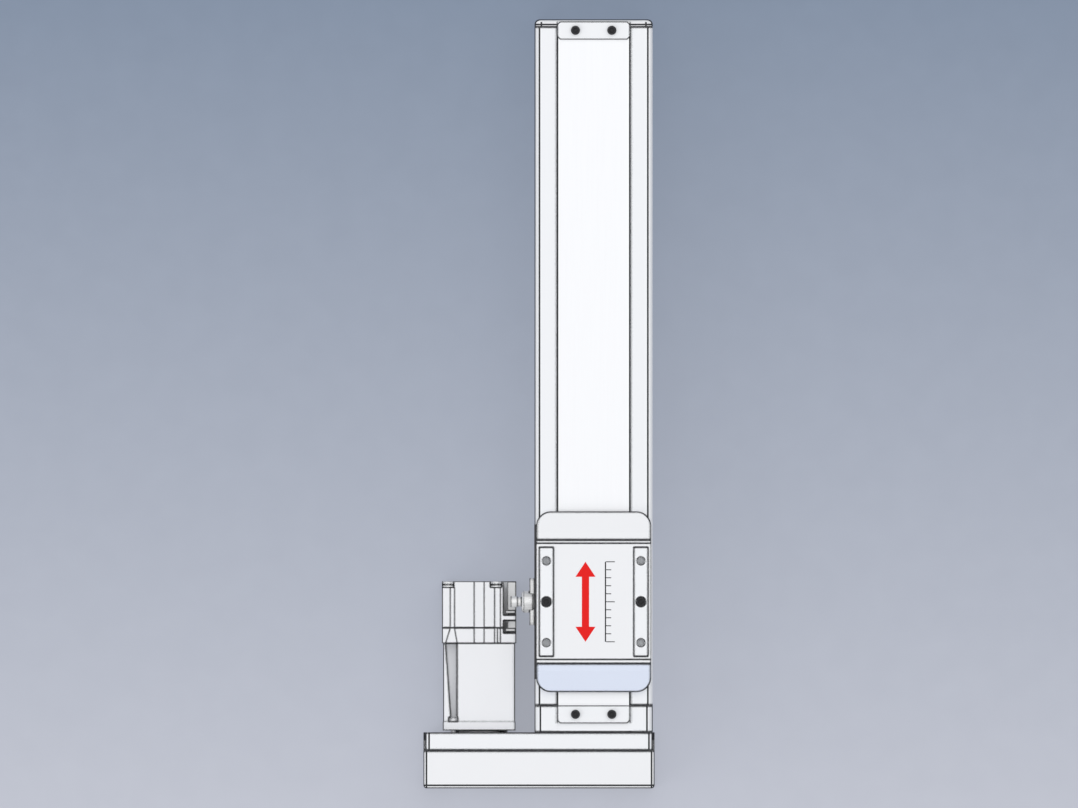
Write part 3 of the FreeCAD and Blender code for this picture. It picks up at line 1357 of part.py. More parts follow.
# Air port on the left side cover
def make_port():
    side = -half
    centre = (slider_middle, port_high)
    flange_end = side - port_thick
    near, far = slider_middle - port_long / 2, slider_middle + port_long / 2
    low, high = port_high - port_tall / 2, port_high + port_tall / 2
    outline = [(near, low), (far, low), (far, high), (near, high)]
    flange = prism("port_flange", "X", outline, flange_end, side)
    dress(flange, "Fillet", port_corner, edges_at("X", *outline))
    collar_end = side - collar_out
    barb_end = side - barb_out
    turned = [
        (0, side + cover_wall),
        (port_spigot, side + cover_wall),
        (port_spigot, side),
        (collar_radius - collar_chamfer, side),
        (collar_radius, side - collar_chamfer),
        (collar_radius, collar_end + collar_chamfer),
        (collar_radius - collar_chamfer, collar_end),
        (barb_neck, collar_end),
        (barb_neck, barb_end + barb_long),
        (barb_radius, barb_end + barb_long),
        (barb_radius, barb_end),
        (0, barb_end),
    ]
    stem = lathe("port_stem", "X", centre, turned)
    tools = [rod("air_way", "X", centre, port_bore, barb_end, side + cover_wall)]
    screws = []
    sink = flange_end + small_head_thick - gap
    for way in (-1, 1):
        spot = (slider_middle + port_bolt * way, port_high)
        tools.append(rod("port_drill", "X", spot, small_shank + fit, flange_end, side))
        tools.append(rod("port_sink", "X", spot, small_head + fit, flange_end, sink))
        reach = port_thick + cover_wall - small_head_thick
        screws.append(screw_solid("port_screw", "X", spot, sink, small_shank, small_head,
                                  small_head_thick - gap, reach, -1))
    node(cut("air_port", fuse("port_form", flange, stem), *tools))
    node(group("port_screws", screws))


make_base()
make_covers()
make_ends()
make_screw()
make_drive_housing()
make_belt_drive()
make_motor()
make_carriage()
make_saddle()
make_slider_cover()
make_port()
doc.recompute()

problems = []
for thing in doc.Objects:
    if any(state in ("Invalid", "Error") for state in thing.State):
        problems.append(f"{thing.Name}: {thing.State}")
for thing in nodes:
    if thing.Shape.isNull() or not thing.Shape.isValid():
        problems.append(f"{thing.Label}: its shape is missing or not valid")
    elif thing.Shape.Volume <= 0 or not thing.Shape.Solids:
        problems.append(f"{thing.Label}: it holds no solid")
if len({thing.Label for thing in nodes}) != len(nodes):
    problems.append("two sub-parts share a name")
if problems:
    raise RuntimeError("\n".join(problems))

os.makedirs("parts", exist_ok=True)
for thing in nodes:
    thing.Shape.exportStep(f"parts/{thing.Label}.step")
print(f"{len(nodes)} sub-parts written")
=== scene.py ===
"""Looks of the ball screw linear axis: finishes, fine pieces, printed travel mark and stage."""

import math
from typing import NamedTuple

import bmesh
import bpy
from bpy.props import FloatProperty, FloatVectorProperty, IntProperty, PointerProperty
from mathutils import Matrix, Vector


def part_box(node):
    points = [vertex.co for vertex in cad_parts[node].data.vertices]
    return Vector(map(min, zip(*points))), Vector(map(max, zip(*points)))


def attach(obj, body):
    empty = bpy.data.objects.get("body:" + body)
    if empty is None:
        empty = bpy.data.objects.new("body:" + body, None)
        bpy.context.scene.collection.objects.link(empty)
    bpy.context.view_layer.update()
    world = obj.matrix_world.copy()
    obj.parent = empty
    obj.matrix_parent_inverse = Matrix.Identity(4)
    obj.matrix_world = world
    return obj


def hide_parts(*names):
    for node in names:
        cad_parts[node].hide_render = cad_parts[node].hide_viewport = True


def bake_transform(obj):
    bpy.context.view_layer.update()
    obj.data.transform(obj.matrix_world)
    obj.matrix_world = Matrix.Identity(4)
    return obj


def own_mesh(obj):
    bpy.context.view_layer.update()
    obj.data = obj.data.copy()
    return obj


bl_info = {
    "name": "Ball screw linear axis",
    "version": (1, 0, 0),
    "blender": (4, 5, 0),
    "location": "3D View > Sidebar > Linear axis",
    "description": "Dresses the linear axis with its finishes and fine pieces",
    "category": "Object",
}

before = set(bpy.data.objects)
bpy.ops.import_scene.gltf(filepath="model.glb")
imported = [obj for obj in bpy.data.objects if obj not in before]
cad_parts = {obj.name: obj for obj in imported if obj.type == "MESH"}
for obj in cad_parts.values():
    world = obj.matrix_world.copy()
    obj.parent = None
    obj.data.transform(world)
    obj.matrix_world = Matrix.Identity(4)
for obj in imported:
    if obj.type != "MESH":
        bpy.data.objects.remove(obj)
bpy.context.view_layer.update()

MM = 0.001
PHOTO_WIDTH = 1078
PHOTO_CENTRE = (539, 404)
ORIGIN_IN_PHOTO = (593.65, 365.95)
METRES_PER_PIXEL = 0.00055

# How far a rounded normal turns from the flat one where a dark line begins, and where it is full
LINE_BEGINS = 0.024
LINE_FULL = 0.036
# A surface that looks up by less than this is upright and has no rim
UPRIGHT = 0.02
# A face that looks along an axis by more than this belongs to that axis
TOWARDS = 0.5
# Depth below a top face that still counts as that face
SKIN = 1 * MM

slider_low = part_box("end_cap_near")[0]
slider_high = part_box("end_cap_far")[1]
slider_middle = (slider_low.y + slider_high.y) / 2


def length(name, description, millimetres):
    """A length property with its default."""
    return FloatProperty(name=name, description=description, default=millimetres * MM, unit="LENGTH")


def colour(name, description, red, green, blue):
    """A colour property with its default."""
    return FloatVectorProperty(name=name, description=description, subtype="COLOR", size=3,
                               min=0, max=1, default=(red, green, blue))


class LinearAxisSizes(bpy.types.PropertyGroup):
    """Sizes of the pieces that are made here."""

    edge_reach: length("Edge reach", "How far from a sharp edge its dark line ends", 2.6)
    fine_reach: length("Fine reach", "The same on small pieces", 1.6)
    narrow_reach: length("Narrow reach", "The same on the table cover and the motor's rear cover", 1.235)
    tiny_reach: length("Tiny reach", "The same on screws, connectors and narrow ledges", 0.95)
    line_width: length("Line width", "Width of a line where a rounding begins", 0.95)
    rim_width: length("Rim width", "Width of the line on the outermost part of a rounding", 0.52)
    screw_lead: length("Screw lead", "Travel per turn of the ball screw", 10)
    track_radius: length("Ball track", "Radius of the screw's helical ball track", 1.3)
    screw_seat: length("Screw seat", "Radius of the screw in its near bearings", 4)
    screw_tail: length("Screw tail", "Radius of the screw's two ends", 3)
    cover_edge: length("Cover edge", "Rounding of the side covers' upper edges", 2.7)
    block_edge: length("Block edge", "Rounding of the near block's upper edges", 3.2)
    far_side: length("Far side", "Rounding of the far cover's side edges", 3.75)
    far_edge: length("Far edge", "Rounding of the far cover's outer face", 2.8)
    plate_corner: length("Plate corner", "Rounding of the adapter plate's corners", 1.9)
    shell_edge: length("Shell edge", "Rounding of the belt cover's edges", 1.65)
    motor_corner: length("Motor corner", "Rounding of the motor's corners", 2)
    motor_seam: length("Motor seam", "Seam of the motor's encoder cover from its front", 8.45)
    band_thickness: length("Band thickness", "Thickness of the cover band", 0.3)
    band_rise: length("Band rise", "Length over which the band climbs into the slider", 14.7)
    band_flat: length("Band flat end", "Flat stretch of the band inside a slider cap", 4)
    mark_length: length("Travel mark", "Length of the printed travel arrow", 44)
    mark_width: length("Arrow head", "Width of the travel arrow's heads", 11)
    ink_thickness: length("Ink", "Thickness of the printed mark", 0.06)
    mark_ticks: IntProperty(
        name="Ticks", description="Divisions of the printed scale beside the arrow", default=10, min=2)


class LinearAxisColours(bpy.types.PropertyGroup):
    """Colours of the finishes and the stage, as linear values."""

    anodised: colour("Anodised", "Clear anodised aluminium", 0.86, 0.87, 0.885)
    moulding: colour("Moulding", "White plastic covers", 0.885, 0.89, 0.90)
    # The near cap's colour is the white moulding with painted blue light, tinted as a bluish lamp would
    # tint its sloped face
    cap_painted_blue_light: colour("Near cap", "The slider's pale blue end cap", 0.735, 0.79, 0.91)
    slide: colour("Band guides", "Grey slide plastic of the band guides", 0.5, 0.51, 0.53)
    band: colour("Band", "Stainless cover band", 0.86, 0.865, 0.875)
    paint: colour("Motor paint", "The motor's satin paint", 0.865, 0.87, 0.885)
    steel: colour("Steel", "Ground steel", 0.60, 0.61, 0.63)
    thread: colour("Rolled screw", "Hardened steel of the ball screw", 0.55, 0.56, 0.58)
    pulley: colour("Pulleys", "Aluminium of the toothed pulleys", 0.72, 0.72, 0.74)
    nickel: colour("Nickel", "Nickel plated brass", 0.86, 0.86, 0.85)
    zinc: colour("Zinc", "Bright zinc plated screws", 0.86, 0.865, 0.87)
    connector: colour("Connectors", "Natural plastic of the motor's connectors", 0.84, 0.84, 0.83)
    black: colour("Black", "Black oxide and black plastic", 0.012, 0.012, 0.014)
    black_grain: colour("Black grain", "Paler grain of the black plastic", 0.03, 0.03, 0.034)
    rubber: colour("Rubber", "Rubber and belt", 0.022, 0.022, 0.024)
    rubber_grain: colour("Rubber grain", "Paler grain of the rubber", 0.045, 0.045, 0.048)
    line: colour("Edge line", "Dark line along the edges", 0.010, 0.011, 0.014)
    print_red: colour("Print", "Red of the printed arrow", 0.86, 0.012, 0.010)
    floor_near: colour("Floor, near", "Floor at the bottom of the picture", 0.56, 0.58, 0.65)
    floor_far: colour("Floor, far", "Floor at the top of the picture", 0.25, 0.305, 0.40)
    sky: colour("Sky", "Light that comes from all round", 0.96, 0.97, 1.0)


def sizes():
    return bpy.context.scene.linear_axis_sizes


def colours():
    return bpy.context.scene.linear_axis_colours


def scaled(tint, share):
    return [value * share for value in tint]


class Socket:
    """A node socket in plain arithmetic: each sign adds one Math node, and | and & join masks."""

    def __init__(self, finish, source):
        self.finish = finish
        self.source = source

    def __add__(self, other):
        return self.finish.maths("ADD", self, other)

    def __sub__(self, other):
        return self.finish.maths("SUBTRACT", self, other)

    def __rsub__(self, other):
        return self.finish.maths("SUBTRACT", other, self)

    def __mul__(self, other):
        return self.finish.maths("MULTIPLY", self, other)

    def __abs__(self):
        return self.finish.maths("ABSOLUTE", self, 0)

    def __lt__(self, other):
        return self.finish.maths("LESS_THAN", self, other)

    def __gt__(self, other):
        return self.finish.maths("GREATER_THAN", self, other)

    def __or__(self, other):
        return self.finish.maths("MAXIMUM", self, other)

    def __and__(self, other):
        return self.finish.maths("MINIMUM", self, other)


class Finish:
    """A material, or the world's background, made node by node."""

    def __init__(self, name, world=None):
        self.owner = world or bpy.data.materials.new(name)
        self.owner.use_nodes = True
        self.tree = self.owner.node_tree
        self.tree.nodes.clear()
        self.spot = self.node("ShaderNodeTexCoord", output="Object")

    def node(self, kind, settings=None, inputs=None, output=0):
        """Add one node: first its settings, then the values or links of its sockets."""
        made = self.tree.nodes.new(kind)
        for name, value in (settings or {}).items():
            setattr(made, name, value)
        for name, value in (inputs or {}).items():
            if isinstance(value, Socket):
                self.tree.links.new(value.source, made.inputs[name])
            else:
                made.inputs[name].default_value = value
        return Socket(self, made.outputs[output])

    def maths(self, operation, first, second):
        return self.node("ShaderNodeMath", {"operation": operation}, {0: first, 1: second})

    def mix(self, share, first, second):
        """A colour between two others."""
        pair = [value if isinstance(value, Socket) else (*value, 1) for value in (first, second)]
        return self.node("ShaderNodeMix", {"data_type": "RGBA"}, {0: share, 6: pair[0], 7: pair[1]}, 2)

    def ramp(self, value, low, high):
        """0 at low, 1 at high and a straight run between them."""
        return self.node("ShaderNodeMapRange", None,
                         {"Value": value, "From Min": low, "From Max": high})

    def noise(self, scale, stretch=(1, 1, 1), detail=3.0, rough=0.55):
        """Cloudy values from 0 to 1; a small stretch draws them out along that axis."""
        place = self.node("ShaderNodeMapping", None, {"Vector": self.spot, "Scale": stretch})
        return self.node("ShaderNodeTexNoise", None,
                         {"Vector": place, "Scale": scale, "Detail": detail, "Roughness": rough})

    def axes(self):
        """The three coordinates of the surface in metres, or of the world's direction."""
        split = self.node("ShaderNodeSeparateXYZ", None, {"Vector": self.spot})
        outputs = split.source.node.outputs
        return [Socket(self, outputs[letter]) for letter in "XYZ"]

    def facing(self, axis):
        """How far the surface looks along an axis, from -1 to 1."""
        split = self.node("ShaderNodeSeparateXYZ", None,
                          {"Vector": self.node("ShaderNodeNewGeometry", output="Normal")})
        return Socket(self, split.source.node.outputs[axis])

    def edges(self, reach):
        """1 along the sharp edges of the piece, 0 elsewhere."""
        soft = self.node("ShaderNodeBevel", {"samples": 8}, {"Radius": reach})
        flat = self.node("ShaderNodeNewGeometry", output="Normal")
        agree = self.node("ShaderNodeVectorMath", {"operation": "DOT_PRODUCT"}, {0: soft, 1: flat},
                          "Value")
        return self.ramp(1 - agree, LINE_BEGINS, LINE_FULL)

    def bump(self, height, distance, strength=1.0):
        return self.node("ShaderNodeBump", None,
                         {"Height": height, "Distance": distance, "Strength": strength}, "Normal")

    def surface(self, base, roughness, normal, metallic=0.0, coat=0.0, specular=0.5):
        """Close the material with its shader; numbers alone sit on the shader's own sockets."""
        inputs = {"Base Color": base, "Roughness": roughness, "Metallic": metallic, "Normal": normal,
                  "Coat Weight": coat, "Specular IOR Level": specular}
        return self.close(self.node("ShaderNodeBsdfPrincipled", None, inputs, "BSDF"))

    def close(self, shader, output="ShaderNodeOutputMaterial"):
        """Send the shader to the output and give back the material or world."""
        end = self.tree.nodes.new(output)
        self.tree.links.new(shader.source, end.inputs["Surface"])
        return self.owner


def lined(finish, base, drawn=None, reach=None):
    """The base colour with a dark line on every sharp edge, and on the lines drawn besides."""
    mask = finish.edges(reach or sizes().edge_reach)
    if drawn:
        mask = drawn(finish, mask)
    return finish.mix(mask, base, colours().line)


def drawn_lines(planes, skip=None, above=None, rim=None):
    """What adds fine lines where a surface meets these planes, each an axis and a place on it.

    No line is drawn on faces that look along the skip axis, nor below the height above. A rim is
    the radius of a rounding whose outermost part, seen from above, is drawn dark too.
    """

    def draw(finish, mask):
        spots = dict(zip("XYZ", finish.axes()))
        for axis, place in planes:
            line = abs(spots[axis] - place) < sizes().line_width / 2
            if skip:
                line = line & (abs(finish.facing(skip)) < TOWARDS)
            if above is not None:
                line = line & (spots["Z"] > above)
            mask = mask | line
        if rim:
            inner = 1 - sizes().rim_width / rim
            rise = finish.facing("Z")
            mask = mask | (rise > UPRIGHT) & (rise < math.sqrt(1 - inner ** 2))
        return mask

    return draw


def upper_roundings(node, radius, rim=True):
    """The lines where the roundings of a node's long upper edges begin, on either side."""
    low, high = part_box(node)
    place = max(abs(low.x), abs(high.x)) - radius
    return drawn_lines((("X", place), ("X", -place)), "Y", high.z - radius, radius if rim else None)


def block_lines():
    """The near block's lines; none beside the bare stretch in front of the band's clamp."""
    roundings = upper_roundings("near_end_block", sizes().block_edge)
    low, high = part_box("near_end_block")
    clamp_low, clamp_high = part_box("clamp_plate_near")
    recess = clamp_high.x + 2 * MM

    def draw(finish, mask):
        across, along, up = finish.axes()
        bare = (abs(across) < recess) & (up > high.z - SKIN)
        bare = bare & (along < clamp_low.y) & (along > low.y + sizes().line_width)
        return roundings(finish, mask & (1 - bare))

    return draw


def plate_roundings():
    """The lines along the adapter plate's rounded corners."""
    low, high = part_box("adapter_plate")
    radius = sizes().plate_corner
    planes = (("X", low.x + radius), ("X", high.x - radius), ("Z", low.z + radius), ("Z", high.z - radius))
    return drawn_lines(planes, "Y", rim=radius)


def shell_roundings():
    """The lines round the belt cover's rounded outer edges."""
    low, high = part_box("belt_cover")
    radius = sizes().shell_edge
    planes = (("X", low.x + radius), ("X", high.x - radius), ("Y", low.y + radius),
              ("Z", low.z + radius), ("Z", high.z - radius))
    return drawn_lines(planes, rim=radius)


def far_roundings():
    """The lines along the far end cover's rounded edges."""
    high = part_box("far_end_cover")[1]
    place = high.x - sizes().far_side
    planes = (("X", place), ("X", -place), ("Y", high.y - sizes().far_edge))
    return drawn_lines(planes, "Y", high.z - sizes().far_side, sizes().far_edge)


def motor_lines(*seams):
    """The outlines of the motor's rounded corners, and the seams of its cover on the top."""
    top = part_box("motor_encoder_cover")[1].z
    return drawn_lines([("Y", seam) for seam in seams], "Y", top - SKIN, sizes().motor_corner)


def anodised(name="anodised", drawn=None, along=(1, 0.02, 1), reach=None):
    """Clear anodised aluminium with the fine streaks of extrusion and milling."""
    finish = Finish(name)
    streaks = finish.noise(2600, along, 4)
    cloud = finish.noise(35, (1, 0.4, 1), 2)
    base = colours().anodised
    tone = finish.mix(streaks * 0.7 + cloud * 0.3, scaled(base, 0.955), base)
    return finish.surface(lined(finish, tone, drawn, reach), streaks * 0.16 + 0.34,
                          finish.bump(streaks, 0.012 * MM, 0.5), metallic=0.22)


def moulding(name, tint, drawn=None, reach=None):
    """Moulded plastic with a fine spark-eroded grain."""
    finish = Finish(name)
    grain = finish.noise(3800, detail=2)
    tone = finish.mix(finish.noise(28, detail=2), scaled(tint, 0.975), tint)
    return finish.surface(lined(finish, tone, drawn, reach), grain * 0.12 + 0.44,
                          finish.bump(grain, 0.03 * MM, 0.35))


def brushed_band():
    """Stainless strip, brushed along its length, with its two edges dark."""
    finish = Finish("brushed_band")
    fine = finish.noise(5200, (1, 0.012, 1), 4, 0.7)
    broad = finish.noise(700, (1, 0.03, 1), 2)
    base = colours().band
    tone = finish.mix(fine * 0.6 + broad * 0.4, scaled(base, 0.93), base)
    across = finish.axes()[0]
    side = abs(across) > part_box("cover_band")[1].x - sizes().line_width / 2
    return finish.surface(finish.mix(side, tone, colours().line), fine * 0.18 + 0.26,
                          finish.bump(fine, 0.006 * MM, 0.4), metallic=0.45)


def ground_steel(name, tint):
    """Hardened steel with fine grinding marks."""
    finish = Finish(name)
    marks = finish.noise(4200, (1, 1, 0.05), 3)
    tone = finish.mix(marks, scaled(tint, 0.86), tint)
    return finish.surface(lined(finish, tone), marks * 0.16 + 0.22,
                          finish.bump(marks, 0.01 * MM, 0.4), metallic=0.85)


def black_oxide():
    """Blackened steel screws, a little paler where they were handled."""
    finish = Finish("black_oxide")
    cloud = finish.noise(900, detail=3)
    base = colours().black
    tone = finish.mix(cloud, base, scaled(base, 2.2))
    return finish.surface(tone, cloud * 0.2 + 0.3, finish.bump(cloud, 0.01 * MM, 0.4),
                          metallic=0.55, coat=0.15)


def black_plastic():
    """Black moulded strip with a fine grain."""
    finish = Finish("black_plastic")
    grain = finish.noise(4200, detail=2)
    return finish.surface(finish.mix(grain, colours().black, colours().black_grain),
                          grain * 0.15 + 0.5, finish.bump(grain, 0.03 * MM, 0.4))


def rubber():
    """Dull rubber of the stops, wipers and belt."""
    finish = Finish("rubber")
    grain = finish.noise(2800, detail=4)
    return finish.surface(finish.mix(grain, colours().rubber, colours().rubber_grain),
                          grain * 0.1 + 0.72, finish.bump(grain, 0.04 * MM, 0.6))


def nickel():
    """Nickel plated brass, turned, with a bright soft shine."""
    finish = Finish("nickel")
    rings = finish.noise(5200, (0.05, 1, 1), 3)
    base = colours().nickel
    tone = finish.mix(rings, scaled(base, 0.93), base)
    return finish.surface(lined(finish, tone, reach=sizes().fine_reach), rings * 0.12 + 0.2,
                          finish.bump(rings, 0.01 * MM, 0.4), metallic=0.35)


def zinc_plated():
    """Bright zinc over turned steel, a little cloudy."""
    finish = Finish("zinc_plated")
    cloud = finish.noise(1400, detail=3)
    base = colours().zinc
    tone = finish.mix(cloud, scaled(base, 0.9), base)
    return finish.surface(lined(finish, tone, reach=sizes().tiny_reach), cloud * 0.14 + 0.22,
                          finish.bump(cloud, 0.008 * MM, 0.4), metallic=0.3)


def motor_paint(name, drawn, reach):
    """Satin paint with a faint orange peel over the motor's castings."""
    finish = Finish(name)
    peel = finish.noise(900, detail=2)
    base = colours().paint
    tone = finish.mix(finish.noise(40, detail=2), scaled(base, 0.97), base)
    return finish.surface(lined(finish, tone, drawn, reach), peel * 0.1 + 0.38,
                          finish.bump(peel, 0.05 * MM, 0.3), coat=0.1)


def printed(name, tint):
    """Screen-printed ink, very slightly uneven."""
    finish = Finish(name)
    cover = finish.noise(1500, detail=3)
    tone = finish.mix(cover, scaled(tint, 0.88), tint)
    return finish.surface(tone, cover * 0.15 + 0.45, finish.bump(cover, 0.01 * MM, 0.4),
                          specular=0.15)


def new_piece(name, mesh, material, body, slot, *replaced):
    """Put a mesh into the scene as one piece; where body is None, it stays unattached."""
    piece = bpy.data.objects.new(name, mesh)
    bpy.context.scene.collection.objects.link(piece)
    piece.data.materials.append(material)
    if body:
        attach(piece, body)
    if replaced:
        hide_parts(*replaced)
    return piece


def mesh_from(name, points, faces, smooth=False):
    """A mesh from its points and faces, with its faces turned outwards."""
    work = bmesh.new()
    made = [work.verts.new(point) for point in points]
    for face in faces:
        work.faces.new([made[number] for number in face])
    bmesh.ops.recalc_face_normals(work, faces=work.faces)
    mesh = bpy.data.meshes.new(name)
    work.to_mesh(mesh)
    work.free()
    for face in mesh.polygons:
        face.use_smooth = smooth
    return mesh


def ring_faces(rings, count):
    """The faces between rings of count points each, one ring after the other."""
    faces = []
    for first in range(0, (rings - 1) * count, count):
        for step in range(count):
            after = (step + 1) % count
            faces.append((first + step, first + after, first + count + after, first + count + step))
    return faces


def tube(rings, count):
    """The faces of a closed tube: those between its rings and a flat one at either end."""
    last = (rings - 1) * count
    return [tuple(range(count)), tuple(range(last, last + count)), *ring_faces(rings, count)]


def joined(forms):
    """The points and faces of several forms as one list of each."""
    points = []
    faces = []
    for own_points, own_faces in forms:
        start = len(points)
        points += own_points
        faces += [tuple(start + number for number in face) for face in own_faces]
    return points, faces


def plate(outline, low, thickness):
    """The points and faces of a flat plate of any outline."""
    points = [(x, y, z) for z in (low, low + thickness) for x, y in outline]
    return points, tube(2, len(outline))


def bar(across, along, half_x, half_y):
    """The outline of a rectangle about its centre."""
    return [(across - half_x, along - half_y), (across + half_x, along - half_y),
            (across + half_x, along + half_y), (across - half_x, along + half_y)]


class Screws(NamedTuple):
    """A node's cap screws: where their heads point, their radii and lengths in millimetres."""

    axis: str
    way: int
    head: float
    head_long: float
    shank: float
    body: str
    washer: float = 0


BLACK_SCREWS = {
    "clamp_screws": Screws("Z", 1, 2.5, 1.8, 1.45, "base"),
    "pad_screws": Screws("Z", 1, 2.6, 2.8, 1.45, "slider"),
    "saddle_screws": Screws("Z", 1, 3.5, 4.0, 1.95, "slider"),
    "tie_screws": Screws("Y", -1, 3.5, 4.0, 1.95, "base"),
    "belt_cover_screws": Screws("Y", -1, 2.5, 2.2, 1.45, "base"),
    "far_cover_screws": Screws("Y", 1, 3.0, 2.2, 1.95, "base"),
}
PLATED_SCREWS = {
    "motor_cover_screws": Screws("Y", 1, 3.0, 3.35, 1.45, "base", washer=1.3),
    "motor_mount_screws": Screws("Y", 1, 2.5, 2.1, 1.45, "base"),
    "port_screws": Screws("X", -1, 2.5, 1.5, 1.45, "base"),
}


def assign(material, *names):
    """Give one finish to CAD nodes."""
    for name in names:
        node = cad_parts[name]
        node.data.materials.clear()
        node.data.materials.append(material)


class LINEARAXIS_OT_finishes(bpy.types.Operator):
    """Give every CAD node its finish"""

    bl_idname = "linear_axis.finishes"
    bl_label = "Finishes"

    def execute(self, context):
        tint = colours()
        fine = sizes().fine_reach
        narrow = sizes().narrow_reach
        tiny = sizes().tiny_reach
        milled = (1, 0.3, 1)
        for side, rim in (("left", True), ("right", False)):
            node = f"side_cover_{side}"
            assign(anodised(f"anodised_{side}", upper_roundings(node, sizes().cover_edge, rim)), node)
        assign(anodised("anodised_block", block_lines(), milled), "near_end_block")
        assign(anodised("anodised_plate", plate_roundings(), milled), "adapter_plate")
        assign(anodised(), "base_extrusion", "far_support_block", "saddle")
        assign(anodised("anodised_small", None, milled, fine), "clamp_plate_near", "clamp_plate_far",
               "pad_left", "pad_right")
        assign(moulding("moulding", tint.moulding), "end_cap_far")
        assign(moulding("moulding_small", tint.moulding, reach=fine), "ball_return_cap_near",
               "ball_return_cap_far", "seal_plate_near", "seal_plate_far")
        assign(moulding("moulding_table", tint.moulding, reach=narrow), "table_cover")
        assign(moulding("moulding_belt_cover", tint.moulding, shell_roundings()), "belt_cover")
        assign(moulding("moulding_far_cover", tint.moulding, far_roundings(), tiny), "far_end_cover")
        # The near end cap gets the white moulding with painted blue light in its colour
        assign(moulding("moulding_near_cap", tint.cap_painted_blue_light), "end_cap_near")
        assign(moulding("slide_plastic", tint.slide), "band_guide_near", "band_guide_far")
        assign(ground_steel("ground_steel", tint.steel), "rail_insert_left", "rail_insert_right",
               "near_bearing_outer", "far_bearing_outer", "near_bearing_inner", "far_bearing_inner",
               "ball_nut", "carriage_block", "screw_lock_nut", "motor_shaft", "retaining_ring",
               "ball_screw_shaft")
        assign(ground_steel("pulley_alloy", tint.pulley), "screw_pulley", "motor_pulley")
        assign(motor_paint("motor_paint", motor_lines(), fine), "motor_body")
        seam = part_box("motor_encoder_cover")[0].y + sizes().motor_seam
        assign(motor_paint("motor_cover_paint", motor_lines(seam), narrow), "motor_encoder_cover")
        assign(moulding("connector", tint.connector, reach=tiny), "motor_power_connector",
               "motor_encoder_connector")
        assign(nickel(), "air_port")
        assign(rubber(), "bumper_near", "bumper_far", "timing_belt", "band_wipers", "band_magnets")
        assign(black_plastic(), "side_strip")
        assign(black_oxide(), *BLACK_SCREWS)
        assign(zinc_plated(), *PLATED_SCREWS)
        return {"FINISHED"}


class LINEARAXIS_OT_cover_band(bpy.types.Operator):
    """Make the cover band: a far strip, the arch through the slider and a near strip"""

    bl_idname = "linear_axis.cover_band"
    bl_label = "Cover band"

    def execute(self, context):
        low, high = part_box("cover_band")
        material = brushed_band()
        thickness = sizes().band_thickness
        floor = low.z
        arch = high.z - thickness
        rise_near = slider_low.y + sizes().band_flat
        rise_far = slider_high.y - sizes().band_flat

        def strip(name, line, body):
            """A thin piece of the band that follows a line of (along, height) places."""
            points = []
            for along, up in line:
                points += [(-high.x, along, up), (high.x, along, up), (high.x, along, up + thickness),
                           (-high.x, along, up + thickness)]
            mesh = mesh_from(f"{name}_mesh", points, tube(len(line), 4))
            return new_piece(name, mesh, material, body, "stainless_band", "cover_band")

        climb = []
        steps = 16
        for number in range(steps + 1):
            share = number / steps
            smooth = (3 - 2 * share) * share ** 2
            climb.append((rise_near + sizes().band_rise * share, floor + (arch - floor) * smooth))
        fall = [(rise_near + rise_far - along, up) for along, up in reversed(climb)]
        strip("cover_band_arch", climb + fall, "slider")

        far = strip("cover_band_far", [(rise_far, floor), (high.y, floor)], "base")
        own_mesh(far)

        rows = 24
        near_line = [(low.y + (rise_near - low.y) * row / rows, floor) for row in range(rows + 1)]
        near = strip("cover_band_near", near_line, None)
        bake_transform(near)
        return {"FINISHED"}


def track_ring(radius, along, start, end, around):
    """The screw's radii round one place along it, with the ball track cut in."""
    lead = sizes().screw_lead
    track = sizes().track_radius
    depth_share = 0.7
    runout = 3 * MM
    fade = min(1, (along - start) / runout, (end - along) / runout)
    ring = []
    for step in range(around):
        off = (((along - start) / lead - step / around + 0.5) % 1 - 0.5) * lead
        depth = math.sqrt(track ** 2 - off ** 2) * depth_share if abs(off) < track else 0.0
        ring.append(radius - depth * fade)
    return ring


class LINEARAXIS_OT_ball_screw(bpy.types.Operator):
    """Make the ball screw with its helical ball track"""

    bl_idname = "linear_axis.ball_screw"
    bl_label = "Ball screw"

    def execute(self, context):
        low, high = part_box("ball_screw_shaft")
        centre_z = (low.z + high.z) / 2
        radius = (high.z - low.z) / 2
        seat = sizes().screw_seat
        tail = sizes().screw_tail
        near_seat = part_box("near_bearing_inner")[1].y
        far_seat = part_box("far_bearing_inner")[0].y
        margin = 2 * MM
        seat_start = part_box("screw_lock_nut")[0].y - margin
        near_collar = seat + 1.7 * MM
        far_collar = tail + 1.8 * MM
        end_bevel = 0.4 * MM
        bevel = 0.3 * MM
        around = 40
        per_lead = 14

        # Each place of the two ends is a place along the screw and a radius
        near_end = [(low.y, tail - end_bevel), (low.y + end_bevel, tail), (seat_start, tail),
                    (seat_start, seat), (near_seat, seat), (near_seat, near_collar),
                    (near_seat + bevel, near_collar), (near_seat + bevel, radius - bevel),
                    (near_seat + 2 * bevel, radius)]
        far_end = [(far_seat - 2 * bevel, radius), (far_seat - bevel, radius - bevel),
                   (far_seat - bevel, far_collar), (far_seat, far_collar), (far_seat, tail),
                   (high.y - end_bevel, tail), (high.y, tail - end_bevel)]
        start = near_seat + margin
        end = far_seat - margin
        count = round((end - start) / sizes().screw_lead * per_lead)
        rows = [(along, [size] * around) for along, size in near_end]
        for number in range(count + 1):
            along = start + (end - start) * number / count
            rows.append((along, track_ring(radius, along, start, end, around)))
        rows += [(along, [size] * around) for along, size in far_end]

        points = []
        for along, ring in rows:
            for step, size in enumerate(ring):
                angle = 2 * math.pi * step / around
                points.append((math.cos(angle) * size, along, centre_z + math.sin(angle) * size))
        mesh = mesh_from("screw_thread", points, tube(len(rows), around), smooth=True)
        mesh.set_sharp_from_angle(angle=math.radians(40))
        new_piece("ball_screw_threaded", mesh, ground_steel("rolled_screw", colours().thread), "screw",
                  "hard_steel", "ball_screw_shaft")
        return {"FINISHED"}


